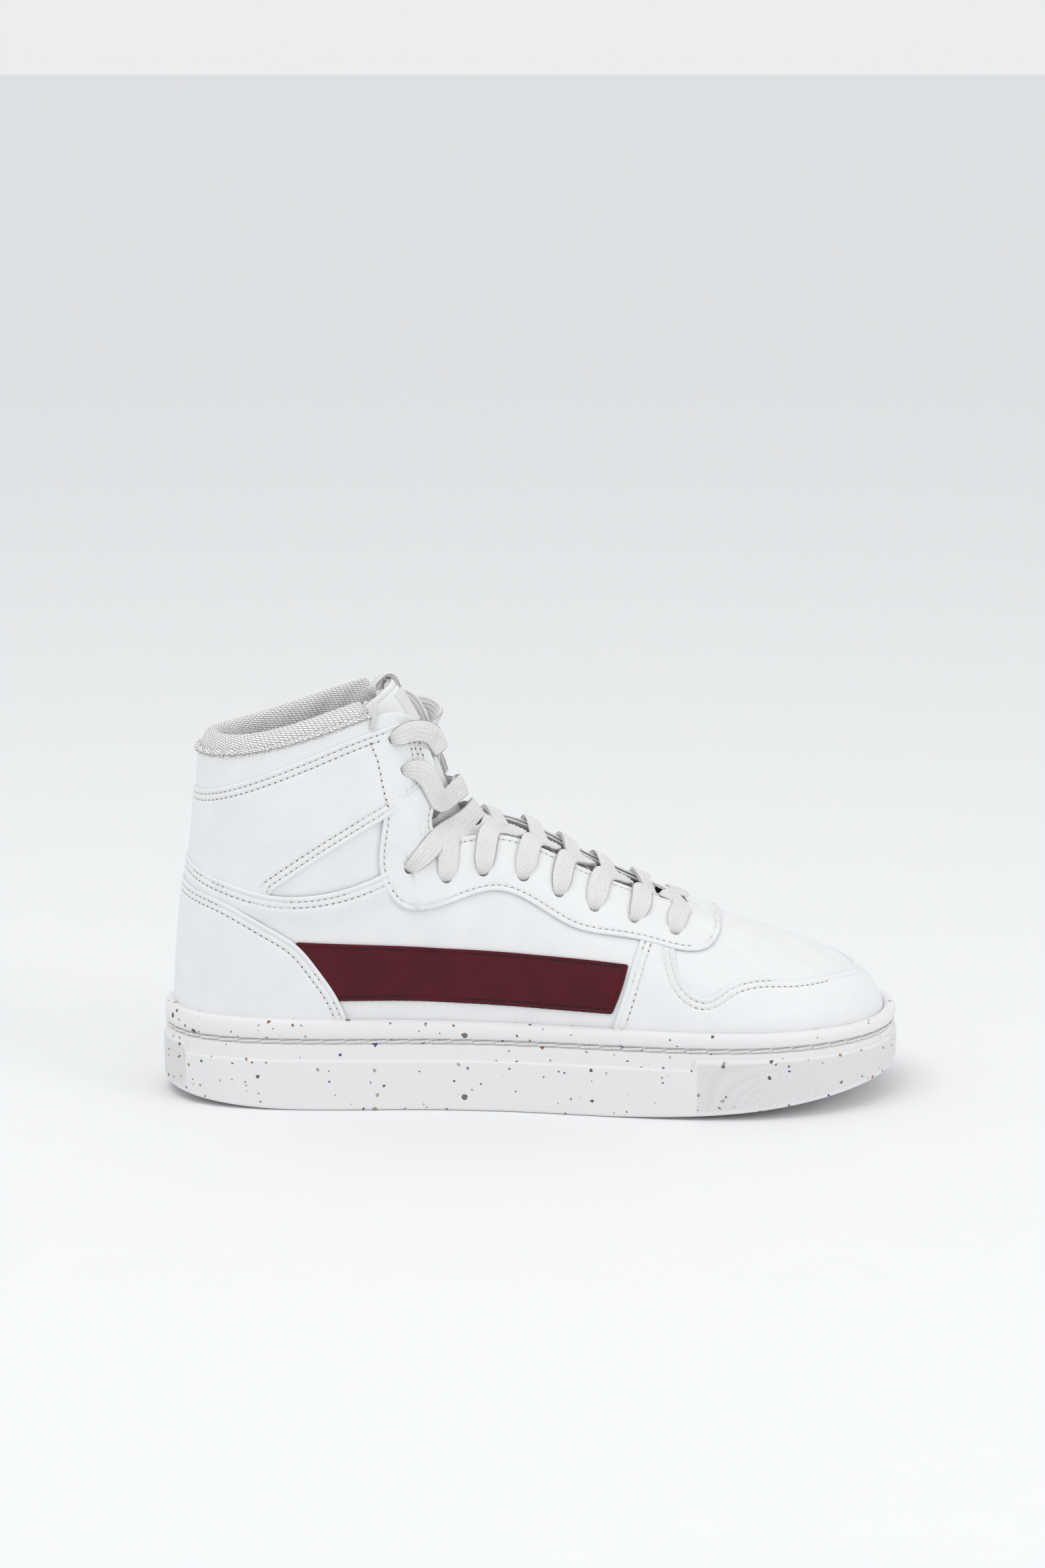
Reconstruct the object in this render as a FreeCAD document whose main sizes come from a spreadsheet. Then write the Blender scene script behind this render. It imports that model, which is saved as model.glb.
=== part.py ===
import FreeCAD, Part
import math
import os

from FreeCAD import Placement, Rotation, Vector

# Basketball high top, right shoe, millimetres.
# The origin is on the ground under the middle of the sole. +X points to the toe, +Y to the inner
# (medial) side and +Z up, so the outer (lateral) side of the foot faces -Y.

doc = FreeCAD.newDocument("HighTop")
sheet = doc.addObject("Spreadsheet::Sheet", "Dimensions")

DIMENSIONS = [
    ("sole_length", 300.0),       # outside length of the cup sole
    ("rim_height", 36.0),         # top of the cup wall at mid length
    ("rim_fall", 0.0125),         # the rim drops this much per millimetre towards the toe
    ("ledge_height", 20.7),       # top of the thicker lower band of the wall
    ("groove_bottom", 27.2),      # stitch groove under the lip
    ("groove_top", 29.3),
    ("band_inset", 1.0),          # the upper band stands back from the lower band
    ("groove_inset", 1.9),
    ("lip_inset", 0.3),
    ("wall_thickness", 3.5),
    ("floor_thickness", 5.0),
    ("tread_depth", 1.8),
    ("tread_width", 3.0),
    ("tread_pitch", 15.0),
    ("tread_margin", 9.0),
    ("feather_height", 15.0),     # the upper is lasted to the board at this height
    ("feather_inset", 9.8),       # and this far inside the outline of the sole
    ("board_thickness", 1.5),
    ("sockliner_thickness", 4.0),
    ("sockliner_gap", 0.35),
    ("thread_diameter", 1.0),
    ("layer_gap", 0.05),
    ("lining_thickness", 0.7),
    ("stiffener_thickness", 0.9),
    ("leather_thickness", 1.1),
    ("roll_thickness", 1.0),      # mesh that covers the collar padding
    ("tongue_leather", 1.2),
    ("tongue_padding", 4.5),
    ("tongue_lining", 0.8),
    ("label_thickness", 0.6),
    ("lace_width", 5.0),          # gathered width of the flat lace where it is pulled tight
    ("lace_thickness", 1.8),
    ("eyelet_width", 2.6),        # the lace is bunched up where it goes through an eyelet
    ("eyelet_diameter", 5.0),
    ("aglet_length", 20.0),
    ("aglet_diameter", 3.4),
    ("half_span", 70.0),          # half the reach of a cut made from the side
]

for row, (alias, value) in enumerate(DIMENSIONS, 1):
    sheet.set("A%d" % row, alias)
    sheet.set("B%d" % row, str(value))
    sheet.setAlias("B%d" % row, alias)
doc.recompute()


def size(alias):
    return float(sheet.get(alias))


# ---------------------------------------------------------------- stations round the shoe
# A station number runs once round the shoe: 0 at the heel, 11 at the toe, back to 22 at the heel.
# Stations 1 to 10 are on the lateral side and 12 to 21 on the medial side.

STATIONS = 22

SOLE_LATERAL = [(-150, 0), (-139, -26), (-112, -37.5), (-78, -39.5), (-42, -39), (-8, -41.5),
                (26, -47.5), (60, -53), (92, -53), (121, -42.5), (142, -22), (150, 5)]
SOLE_MEDIAL = [(144, 30), (122, 46), (92, 53.5), (60, 52.5), (26, 46), (-8, 39),
               (-42, 35.5), (-78, 36.5), (-112, 36), (-139, 25.5)]

# Top edge of the upper: collar, ankle flap, notch and throat, as station, x, y, z.
TOP_EDGE = [(0, -132, 0, 141), (0.7, -126, -17, 141.3), (1.5, -108, -30, 144.5), (2.3, -85, -33.5, 151.5),
            (3.0, -66, -30, 158), (3.4, -54, -25.5, 160), (3.7, -46.5, -22.5, 155.5),
            (3.95, -42, -20.5, 144), (4.15, -40, -20, 131), (4.4, -43, -21, 117),
            (4.65, -39.5, -20.5, 107), (5.05, -25, -19, 106), (5.6, -7, -17.5, 104), (6.2, 12, -16, 95),
            (6.9, 30, -14.5, 86), (7.8, 47, -12.5, 78.5), (8.9, 58, -9, 74), (10, 61.5, -4.5, 72.8),
            (11, 62, 0, 72.5)]

# Upper handle of each rib of the upper, which sets how the wall comes up to the top edge.
HANDLE = [(0, -133.5, 0, 98), (0.7, -127, -19, 99), (1.5, -110, -33, 102), (2.3, -88, -36, 109),
          (3.0, -73, -35, 116), (3.4, -68, -34.5, 120), (3.7, -66, -34, 125), (3.95, -65, -33.5, 126),
          (4.15, -61, -33.5, 116), (4.4, -56, -34, 100), (4.65, -42, -34, 89), (5.05, -21, -33, 89.5),
          (5.6, -3, -33, 91), (6.2, 14, -31, 84), (6.9, 33, -31, 76), (7.8, 66, -30, 67.5),
          (8.9, 93, -24, 61), (10, 104, -11, 57.5), (11, 105, 2, 57)]

# Height of the lower handle above the feather line.
LOWER_RISE = [(0, 43), (1.5, 45), (3, 45), (4.5, 38), (5.6, 35), (6.9, 31), (8, 29), (9.5, 27), (11, 27)]
LOWER_LEAN = 3.0


def ring(rows):
    """Smooth closed curve through rows of station and point, mirrored to the medial side."""
    mirrored = [(STATIONS - s, x, -y, z) for s, x, y, z in reversed(rows[1:-1])]
    full = rows + mirrored
    curve = Part.BSplineCurve()
    curve.interpolate(Points=[Vector(x, y, z) for s, x, y, z in full], PeriodicFlag=True,
                      Parameters=[s for s, x, y, z in full] + [STATIONS])
    return curve


def sole_outline():
    scale = size("sole_length") / 300.0
    points = [Vector(x * scale, y * scale, 0) for x, y in SOLE_LATERAL + SOLE_MEDIAL]
    curve = Part.BSplineCurve()
    curve.interpolate(Points=points, PeriodicFlag=True, Parameters=list(range(STATIONS + 1)))
    return curve


FLAT_BACK = -90.0
FLAT_FRONT = 20.0
OUTLINE = sole_outline()
TOP_CURVE = ring(TOP_EDGE)
HANDLE_CURVE = ring(HANDLE)


def between(table, key):
    """Straight-line reading of a short table."""
    for (a, low), (b, high) in zip(table, table[1:]):
        if key <= b:
            return low + (high - low) * (key - a) / (b - a)
    return table[-1][1]


def outline_point(station, inset):
    station %= STATIONS
    point = OUTLINE.value(station)
    along = OUTLINE.tangent(station)[0]
    return point + Vector(-along.y, along.x, 0) * inset


def lift(x):
    """Height of the tread above the ground: heel bevel, flat stretch, toe spring."""
    heel_bevel = 0.0014 * max(FLAT_BACK - x, 0) ** 2
    toe_spring = 0.0007 * max(x - FLAT_FRONT, 0) ** 2
    return heel_bevel + toe_spring


def rib_point(station, rise):
    """Point of the inner face of the upper; rise is 0 at the feather line and 1 at the top edge."""
    station %= STATIONS
    half = min(station, STATIONS - station)
    foot = outline_point(station, size("feather_inset"))
    foot.z = size("feather_height") + lift(foot.x)
    low = outline_point(station, size("feather_inset") - LOWER_LEAN)
    low.z = foot.z + between(LOWER_RISE, half)
    high = HANDLE_CURVE.value(station)
    top = TOP_CURVE.value(station)
    rest = 1 - rise
    return foot * rest ** 3 + low * (3 * rest ** 2 * rise) + high * (3 * rest * rise ** 2) + top * rise ** 3


def normal_at(station, rise):
    step = 0.001
    along = rib_point(station + step, rise) - rib_point(station - step, rise)
    upward = rib_point(station, rise) - rib_point(station, rise - step)
    return along.cross(upward).normalize()


def upper_point(station, rise, depth):
    """Point of the upper at a depth outwards from its inner face."""
    return rib_point(station, rise) + normal_at(station, rise) * depth


def spread(first, last, count):
    return [first + (last - first) * i / (count - 1) for i in range(count)]


# ---------------------------------------------------------------- shapes that the sub-parts share

def pole_surface(grid):
    """Smooth surface steered by a grid of points; a side with only two points stays straight."""
    knots = []
    counts = []
    degrees = []
    for points in (len(grid), len(grid[0])):
        degree = 1 if points == 2 else 3
        spans = points - degree
        degrees.append(degree)
        knots.append(list(range(spans + 1)))
        counts.append([degree + 1] + [1] * (spans - 1) + [degree + 1])
    surface = Part.BSplineSurface()
    surface.buildFromPolesMultsKnots(grid, counts[0], counts[1], knots[0], knots[1], False, False,
                                     degrees[0], degrees[1])
    return surface.toShape()


def closed_patch(inner, outer):
    """Solid sheet between two matching grids of points."""
    first_side = [inner[0], outer[0]]
    last_side = [inner[-1], outer[-1]]
    low_side = [[row[0] for row in inner], [row[0] for row in outer]]
    high_side = [[row[-1] for row in inner], [row[-1] for row in outer]]
    grids = [inner, outer, first_side, last_side, low_side, high_side]
    shell = Part.makeShell([pole_surface(grid) for grid in grids])
    shell.sewShape()
    solid = Part.Solid(shell)
    if solid.Volume < 0:
        solid.reverse()
    return solid


def backwards(points):
    return list(reversed(points))


def feature(name, shape):
    item = doc.addObject("Part::Feature", name)
    item.Shape = shape
    return item


def upper_layer(name, stations, depths, rises=(0.0, 1.0), rows=13):
    """Curved sheet that follows the upper between two depths."""
    columns = max(6, int(abs(stations[1] - stations[0]) * 4.5))
    places = [(s, r) for s in spread(stations[0], stations[1], columns)
              for r in spread(rises[0], rises[1], rows)]
    grids = []
    for depth in depths:
        points = [upper_point(s, r, depth) for s, r in places]
        grids.append([points[i:i + rows] for i in range(0, len(points), rows)])
    return feature(name, closed_patch(grids[0], grids[1]))


def curve_through(points):
    if len(points) == 2:
        return Part.LineSegment(points[0], points[1])
    curve = Part.BSplineCurve()
    curve.interpolate(points)
    return curve


def side_sketch(name, runs):
    """Closed side view made of runs: two points are a straight line, more are a smooth curve."""
    sketch = doc.addObject("Sketcher::SketchObject", name)
    sketch.Placement = Placement(Vector(0, 0, 0), Rotation(Vector(1, 0, 0), 90))
    for run in runs:
        sketch.addGeometry(curve_through([Vector(x, z, 0) for x, z in run]))
    return sketch


def plan_sketch(name, inset):
    """Outline of the sole seen from above, moved inwards."""
    sketch = doc.addObject("Sketcher::SketchObject", name)
    points = [outline_point(i * 0.5, inset) for i in range(2 * STATIONS)]
    curve = Part.BSplineCurve()
    curve.interpolate(Points=points, PeriodicFlag=True)
    sketch.addGeometry(curve)
    return sketch


def extrude(name, sketch, forward, backward="0"):
    block = doc.addObject("Part::Extrusion", name)
    block.Base = sketch
    block.DirMode = "Normal"
    block.Solid = True
    block.setExpression("LengthFwd", forward)
    block.setExpression("LengthRev", backward)
    return block


def across(name, runs, side="both"):
    """Block cut out of the side view: through the whole shoe, or through one side of it."""
    span = "Dimensions.half_span"
    lengths = {"both": (span, span), "lateral": (span, "0 mm"), "medial": ("0 mm", span)}[side]
    return extrude(name, side_sketch(name + "_sketch", runs), lengths[0], lengths[1])


def boolean(kind, name, base, tool):
    item = doc.addObject("Part::" + kind, name)
    item.Base = base
    item.Tool = tool
    return item


NODES = []


def node(item, label):
    item.Label = label
    NODES.append(item)
    return item


# ---------------------------------------------------------------- sole unit

HALF_LENGTH = size("sole_length") / 2
BEYOND = HALF_LENGTH + 10


def along_lift(rise):
    """Side view, heel to toe, of a surface at a fixed height above the tread."""
    heel = [(x, lift(x) + rise) for x in spread(-BEYOND, FLAT_BACK, 5)]
    toe = [(x, lift(x) + rise) for x in spread(FLAT_FRONT, BEYOND, 7)]
    return [heel, [heel[-1], toe[0]], toe]


def band_between(name, low, high):
    """Block between two heights above the tread."""
    bottom = along_lift(low)
    top = [backwards(run) for run in reversed(along_lift(high))]
    front = [bottom[-1][-1], top[0][0]]
    back = [top[-1][-1], bottom[0][0]]
    return across(name, bottom + [front] + top + [back])


def rim_height(x):
    return size("rim_height") - size("rim_fall") * x


def wall_course(name, inset, bottom, top):
    """One course of the cup wall, as tall as the space between two named heights."""
    course = extrude(name, plan_sketch(name + "_outline", inset), "Dimensions.%s - Dimensions.%s" % (top, bottom))
    course.setExpression("Placement.Base.z", "Dimensions." + bottom)
    return course


def outsole():
    # the lower band starts below the ground, and the side view trims it to the tread
    lower = extrude("lower_band", plan_sketch("lower_band_outline", 0), "Dimensions.ledge_height", "5 mm")
    upper = wall_course("upper_band", size("band_inset"), "ledge_height", "groove_bottom")
    groove = wall_course("groove_course", size("groove_inset"), "groove_bottom", "groove_top")
    lip = extrude("lip_course", plan_sketch("lip_outline", size("lip_inset")), "Dimensions.rim_height / 3")
    lip.setExpression("Placement.Base.z", "Dimensions.groove_top")
    wall = doc.addObject("Part::MultiFuse", "cup_wall")
    wall.Shapes = [lower, upper, groove, lip]

    bottom = along_lift(0)
    front = (BEYOND, rim_height(BEYOND))
    back = (-BEYOND, rim_height(-BEYOND))
    side = across("cup_side_view", bottom + [[bottom[-1][-1], front], [front, back], [back, bottom[0][0]]])
    block = boolean("Common", "cup_block", wall, side)

    hollow_plan = extrude("hollow_plan", plan_sketch("hollow_outline", size("wall_thickness")), "60 mm")
    hollow_side = band_between("hollow_side", size("floor_thickness"), 90)
    hollow = boolean("Common", "cup_hollow", hollow_plan, hollow_side)
    cup = boolean("Cut", "cup", block, hollow)

    slots = doc.addObject("Sketcher::SketchObject", "tread_slots_sketch")
    slots.Placement = Placement(Vector(0, 0, 0), Rotation(Vector(1, 0, 0), 90))
    count = int((2 * HALF_LENGTH - 50) / size("tread_pitch"))
    for i in range(count + 1):
        left = (i - count / 2) * size("tread_pitch") - size("tread_width") / 2
        right = left + size("tread_width")
        roof = lift(left / 2 + right / 2) + size("tread_depth")
        corners = [Vector(left, -5, 0), Vector(right, -5, 0), Vector(right, roof, 0), Vector(left, roof, 0)]
        for a, b in zip(corners, corners[1:] + corners[:1]):
            slots.addGeometry(Part.LineSegment(a, b))
    slots_side = extrude("tread_slots_side", slots, "Dimensions.half_span", "Dimensions.half_span")
    slots_plan = extrude("tread_slots_plan", plan_sketch("tread_outline", size("tread_margin")), "40 mm", "10 mm")
    tread = boolean("Common", "tread_slots", slots_side, slots_plan)
    return boolean("Cut", "outsole_solid", cup, tread)


def slab(name, inset, low, high):
    """Plate with the outline of the sole that follows the toe spring."""
    plan = extrude(name + "_plan", plan_sketch(name + "_outline", inset), "60 mm")
    return boolean("Common", name, plan, band_between(name + "_side", low, high))


def sidewall_thread():
    """Thread that sits in the stitch groove, all the way round."""
    middle = (size("groove_bottom") + size("groove_top")) / 2
    inset = size("groove_inset") - size("thread_diameter") / 2 - size("layer_gap")
    points = [outline_point(i * 0.5, inset) + Vector(0, 0, middle) for i in range(2 * STATIONS)]
    curve = Part.BSplineCurve()
    curve.interpolate(Points=points, PeriodicFlag=True)
    start = curve.value(curve.FirstParameter)
    along = curve.tangent(curve.FirstParameter)[0]
    circle = Part.Wire(Part.Circle(start, along, size("thread_diameter") / 2).toShape())
    pipe = Part.Wire(curve.toShape()).makePipeShell([circle], True, True)
    return feature("sidewall_thread_ring", pipe)


GAP = size("layer_gap")
FEATHER = size("feather_height")
BOARD_BOTTOM = FEATHER - 0.55
BOARD_TOP = BOARD_BOTTOM + size("board_thickness")
SOCK_BOTTOM = BOARD_TOP + size("sockliner_gap")
FILLER_GAP = 1.1              # room for the turned-in lower edges of the upper

node(outsole(), "outsole")
node(sidewall_thread(), "sidewall_stitching")
node(slab("filler_solid", size("wall_thickness") + 0.4, size("floor_thickness") + GAP, BOARD_BOTTOM - FILLER_GAP),
     "midsole_filler")
node(slab("board_solid", size("feather_inset") + 0.3, BOARD_BOTTOM, BOARD_TOP), "insole_board")
node(slab("sock_solid", size("feather_inset") + 0.7, SOCK_BOTTOM, SOCK_BOTTOM + size("sockliner_thickness")),
     "sockliner")

# ---------------------------------------------------------------- layers of the upper
# Depths run outwards from the inner face: lining, stiffeners, base leather, overlays.

LINING = (0.0, size("lining_thickness"))
STIFFENER = (LINING[1] + GAP, LINING[1] + GAP + size("stiffener_thickness"))
BASE = (STIFFENER[1] + GAP, STIFFENER[1] + GAP + size("leather_thickness"))
OVERLAY = (BASE[1] + GAP, BASE[1] + GAP + size("leather_thickness"))

EYELETS = [(7.59, 0.723), (7.06, 0.748), (6.48, 0.745), (5.99, 0.753), (5.58, 0.785),
           (5.12, 0.807), (4.74, 0.792), (4.10, 0.605), (3.82, 0.85), (3.47, 0.917)]


def on_side(side, station):
    """Station on the chosen side of the shoe."""
    return station if side == "lateral" else STATIONS - station


def eyelet_punches():
    pins = []
    for side in ("lateral", "medial"):
        for station, rise in EYELETS:
            place = on_side(side, station)
            direction = normal_at(place, rise)
            start = upper_point(place, rise, -2)
            pins.append(Part.makeCylinder(size("eyelet_diameter") / 2, OVERLAY[1] + 5, start, direction))
    return feature("eyelet_punches", Part.makeCompound(pins))


PUNCHES = eyelet_punches()


def punched(name, item):
    return boolean("Cut", name, item, PUNCHES)


# Edges drawn in the side view, as x and z. The lateral and the medial panels share them.
QUARTER_TOP = [(-150, 104), (-134.5, 96), (-121.5, 92), (-104, 88), (-80, 89), (-59.5, 96), (-28, 116)]
FOREPART_SEAM = [(54, 90), (52, 64), (45, 5)]
ANKLE_TOP = [(-150, 123), (-134.5, 126), (-110, 134.5), (-87, 144), (-66.5, 152), (-50, 157.5)]
ANKLE_FOOT = [(-30, 137), (-59, 118), (-83.5, 103), (-103, 89.5)]
HEEL_EDGE = [(-150, 92), (-137, 87.5), (-126, 85.2), (-104, 74.7), (-93.5, 68), (-84.5, 57), (-77.5, 46),
             (-73.5, 36), (-66, 5)]
EYESTAY_EDGE = [(-58.5, 117.5), (-60, 97), (-50.5, 82.5), (-33, 83.5), (-12, 88.5), (4, 81.5), (18.5, 73.5),
                (33, 70.5), (48, 67.5), (63.5, 64), (71, 65), (76, 70), (78, 82)]
TOE_REAR = [(43, 67.5), (38, 52), (22, 5)]
TOE_VAMP_EDGE = [(57.5, 64.5), (58, 59), (63, 50.3), (69.5, 47.6), (76.5, 51), (83, 53.5), (105, 52.8),
                 (127, 50.5), (160, 46)]
STRIPE_REAR = [(-92.0, 66.8), (-82.8, 55.5), (-76.2, 44.8)]
STRIPE_FRONT = [(33, 38.5), (37.3, 51.2), (39.8, 60)]


def shifted(points, dx, dz):
    return [(x + dx, z + dz) for x, z in points]


def base_panels():
    wall = upper_layer("base_side_layer_lateral", (0.03, 8.8), BASE)
    far_wall = upper_layer("base_side_layer_medial", (STATIONS - 8.8, STATIONS - 0.03), BASE)
    quarter_runs = [
        QUARTER_TOP,
        [QUARTER_TOP[-1], (FOREPART_SEAM[0][0], 130)],
        [(FOREPART_SEAM[0][0], 130), FOREPART_SEAM[0]],
        FOREPART_SEAM,
        [FOREPART_SEAM[-1], (-160, 5)],
        [(-160, 5), (-160, 104)],
        [(-160, 104), QUARTER_TOP[0]],
    ]
    for side, layer in (("lateral", wall), ("medial", far_wall)):
        block = across("quarter_block_" + side, quarter_runs, side)
        panel = boolean("Common", "quarter_panel_" + side, layer, block)
        node(punched("quarter_punched_" + side, panel), "quarter_" + side)

    front = upper_layer("vamp_layer", (6.6, 15.4), BASE)
    seam = shifted(FOREPART_SEAM, 0.1, 0)
    block = across("vamp_block", [seam, [seam[-1], (165, 5)], [(165, 5), (165, 90)], [(165, 90), seam[0]]])
    node(boolean("Common", "vamp_panel", front, block), "vamp")

    rear = upper_layer("ankle_cover_layer", (-5.2, 5.2), BASE, (0.3, 1.0))
    low = shifted(QUARTER_TOP, 0, 0.1)
    block = across("ankle_cover_block", [low, [low[-1], (-28, 175)], [(-28, 175), (-150, 175)],
                                         [(-150, 175), low[0]]])
    cover = boolean("Common", "ankle_cover_panel", rear, block)
    node(punched("ankle_cover_punched", cover), "ankle_cover")


def overlay_panels():
    rear = upper_layer("rear_overlay_layer", (-4.6, 4.6), (OVERLAY[0] + 0.12, OVERLAY[1]))
    block = across("ankle_block", [
        ANKLE_TOP,
        curve_corner(ANKLE_TOP[-1], (-38, 152), (-30, 137)),
        ANKLE_FOOT,
        [ANKLE_FOOT[-1], (-121.5, 92.5)],
        [(-121.5, 92.5), (-134.5, 96.5)],
        [(-134.5, 96.5), (-150, 104.5)],
        [(-150, 104.5), ANKLE_TOP[0]],
    ])
    panel = boolean("Common", "ankle_panel_solid", rear, block)
    node(punched("ankle_panel_punched", panel), "ankle_panel")

    block = across("heel_block", [HEEL_EDGE, [HEEL_EDGE[-1], (-165, 5)], [(-165, 5), (-165, 92)],
                                  [(-165, 92), HEEL_EDGE[0]]])
    node(boolean("Common", "heel_overlay_solid", rear, block), "heel_overlay")

    front = upper_layer("front_overlay_layer", (5.6, 16.4), OVERLAY)
    edge = shifted(EYESTAY_EDGE, 0, -0.3)[8:10]
    block = across("toe_block", [TOE_REAR, [TOE_REAR[-1], (165, 5)], [(165, 5), (165, 46)],
                                 [(165, 46), TOE_VAMP_EDGE[-1]], backwards(TOE_VAMP_EDGE),
                                 [TOE_VAMP_EDGE[0], edge[0]], [edge[0], TOE_REAR[0]]])
    node(boolean("Common", "toe_overlay_solid", front, block), "toe_overlay")

    throat = upper_layer("eyestay_layer", (3.1, 18.9), OVERLAY, (0.35, 1.0))
    far = (-31, 136)
    block = across("eyestay_block", [EYESTAY_EDGE, [EYESTAY_EDGE[-1], (78, 140)], [(78, 140), (-31, 140)],
                                     [(-31, 140), far], [far, EYESTAY_EDGE[0]]])
    panel = boolean("Common", "eyestay_panel", throat, block)
    node(punched("eyestay_punched", panel), "eyestay")

    stripe = [STRIPE_REAR, [STRIPE_REAR[-1], STRIPE_FRONT[0]], STRIPE_FRONT, [STRIPE_FRONT[-1], STRIPE_REAR[0]]]
    for side, stations in (("lateral", (1.5, 7.8)), ("medial", (14.2, 20.5))):
        layer = upper_layer("stripe_layer_" + side, stations, OVERLAY, (0.0, 0.8))
        block = across("stripe_block_" + side, stripe, side)
        node(boolean("Common", "stripe_" + side, layer, block), "side_stripe_" + side)


def curve_corner(start, corner, end):
    """Rounded corner between two points."""
    return [start, ((start[0] + 2 * corner[0] + end[0]) / 4, (start[1] + 2 * corner[1] + end[1]) / 4), end]


def stiffeners():
    rear = upper_layer("counter_layer", (-3.6, 3.6), (STIFFENER[0] + 0.12, STIFFENER[1] - 0.05), (0.02, 0.6))
    edge = [(-150, 82), (-130, 80), (-108, 70), (-92, 54), (-84, 40), (-80, 5)]
    block = across("counter_block", [edge, [edge[-1], (-165, 5)], [(-165, 5), (-165, 82)], [(-165, 82), edge[0]]])
    node(boolean("Common", "counter_solid", rear, block), "heel_counter")
    front = upper_layer("puff_layer", (8.2, 13.8), (STIFFENER[0] + 0.1, STIFFENER[1] - 0.25), (0.02, 0.6))
    edge = [(104, 80), (100, 5)]
    block = across("puff_block", [edge, [edge[-1], (165, 5)], [(165, 5), (165, 80)], [(165, 80), edge[0]]])
    node(boolean("Common", "puff_solid", front, block), "toe_puff")


def linings():
    vamp = upper_layer("vamp_lining_layer", (7.85, 14.15), LINING)
    node(vamp, "vamp_lining")
    for side in ("lateral", "medial"):
        stations = sorted((on_side(side, 0.03), on_side(side, 7.8)))
        low = upper_layer("lining_layer_" + side, stations, LINING, (0.0, 0.66))
        collar_end = sorted((on_side(side, 3.12), on_side(side, 7.8)))
        high = upper_layer("flap_layer_" + side, collar_end, LINING, (0.662, 1.0))
        node(punched("lining_punched_" + side, low), "quarter_lining_" + side)
        node(punched("flap_punched_" + side, high), "flap_lining_" + side)


# Section of the padded collar roll as rise and depth, from under the edge of the leather, over the
# top and down the inside of the shaft.
ROLL = [(0.985, 1.6), (1.02, 1.2), (1.043, -0.8), (1.05, -3.5), (1.038, -6.2), (1.005, -7.9), (0.95, -8.4),
        (0.88, -7.8), (0.80, -5.6), (0.73, -2.4), (0.675, -0.2)]
ROLL_END = 3.05


def roll_point(station, step, inward):
    """Point of the roll's section, moved towards its middle; the roll thins out at its two ends."""
    rise, depth = ROLL[step]
    slim = 1 - 0.45 * (abs(station) / ROLL_END) ** 4
    middle = Vector(0.9, -2.6, 0)
    here = Vector(rise * 130, depth, 0)
    centre = Vector(middle.x * 130, middle.y, 0)
    nearer = here + (centre - here).normalize() * inward
    flat = nearer.y * slim if nearer.y < 0 else nearer.y
    return upper_point(station, nearer.x / 130, flat)


def collar():
    columns = spread(-ROLL_END, ROLL_END, 33)
    steps = range(len(ROLL))
    mesh = size("roll_thickness")
    outer = [[roll_point(s, k, 0) for k in steps] for s in columns]
    inner = [[roll_point(s, k, mesh) for k in steps] for s in columns]
    node(feature("collar_lining_solid", closed_patch(inner, outer)), "collar_lining")
    skin = [[roll_point(s, k, mesh + 3 * GAP) for k in steps] for s in columns]
    back_rises = spread(0.965, 0.70, len(ROLL))
    back = [[upper_point(s, r, 0.9) for r in back_rises] for s in columns]
    node(feature("collar_foam_solid", closed_patch(back, skin)), "collar_padding")


stiffeners()
linings()
base_panels()
overlay_panels()
collar()

# ---------------------------------------------------------------- tongue
# Stations of the tongue's face: x and z of its crest, half width, and how far the edges stand back.

TONGUE = [(60, 65, 13, 4), (45, 74.5, 18, 6), (28, 83.5, 21, 6.5), (10, 92, 22, 7.5), (-8, 99.5, 20, 7.5),
          (-22, 107, 15.5, 9), (-31, 119, 15.5, 12), (-37, 133, 19, 13), (-43, 147, 21, 14),
          (-50, 160, 21.5, 14), (-56, 169, 21, 12)]


def tongue_curves():
    crest = Part.BSplineCurve()
    crest.interpolate(Points=[Vector(x, 0, z) for x, z, w, d in TONGUE], Parameters=list(range(len(TONGUE))))
    shape = Part.BSplineCurve()
    shape.interpolate(Points=[Vector(w, d, 0) for x, z, w, d in TONGUE], Parameters=list(range(len(TONGUE))))
    return crest, shape


TONGUE_CREST, TONGUE_SHAPE = tongue_curves()


def tongue_point(run, side, depth):
    """Point of the tongue: run is the station, side is -1 to 1 across, depth goes into the shoe."""
    crest = TONGUE_CREST.value(run)
    along = TONGUE_CREST.tangent(run)[0]
    inwards = Vector(along.z, 0, -along.x)
    if inwards.z > 0 and inwards.x > 0:
        inwards = inwards * -1
    form = TONGUE_SHAPE.value(run)
    return crest + Vector(0, form.x * side, 0) + inwards * (form.y * side * side + depth)


def crest_out(run):
    """Direction out of the shoe at a place on the tongue's crest."""
    return (tongue_point(run, 0, -1) - tongue_point(run, 0, 0)).normalize()


def tongue_out(run, side):
    """Direction straight out of the tongue's face at any place on it."""
    step = 0.01
    along = tongue_point(run, side, 0) - tongue_point(run - step, side, 0)
    over = tongue_point(run, side + step, 0) - tongue_point(run, side - step, 0)
    out = along.cross(over).normalize()
    return out if out.dot(crest_out(run)) > 0 else out * -1


def tongue_sheet(name, front, back, runs, reach):
    """Layer of the tongue between two depths, each a number or a function of the place across."""
    grids = []
    for depth in (front, back):
        grid = []
        for run in spread(runs[0], runs[1], 34):
            grid.append([tongue_point(run, side, depth(side)) for side in spread(-reach, reach, 17)])
        grids.append(grid)
    return feature(name, closed_patch(grids[0], grids[1]))


def padding_back(side):
    """Depth of the back of the tongue's padding, which thins out towards the edges."""
    return size("tongue_leather") + GAP + size("tongue_padding") * (1 - 0.8 * side * side)


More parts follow.
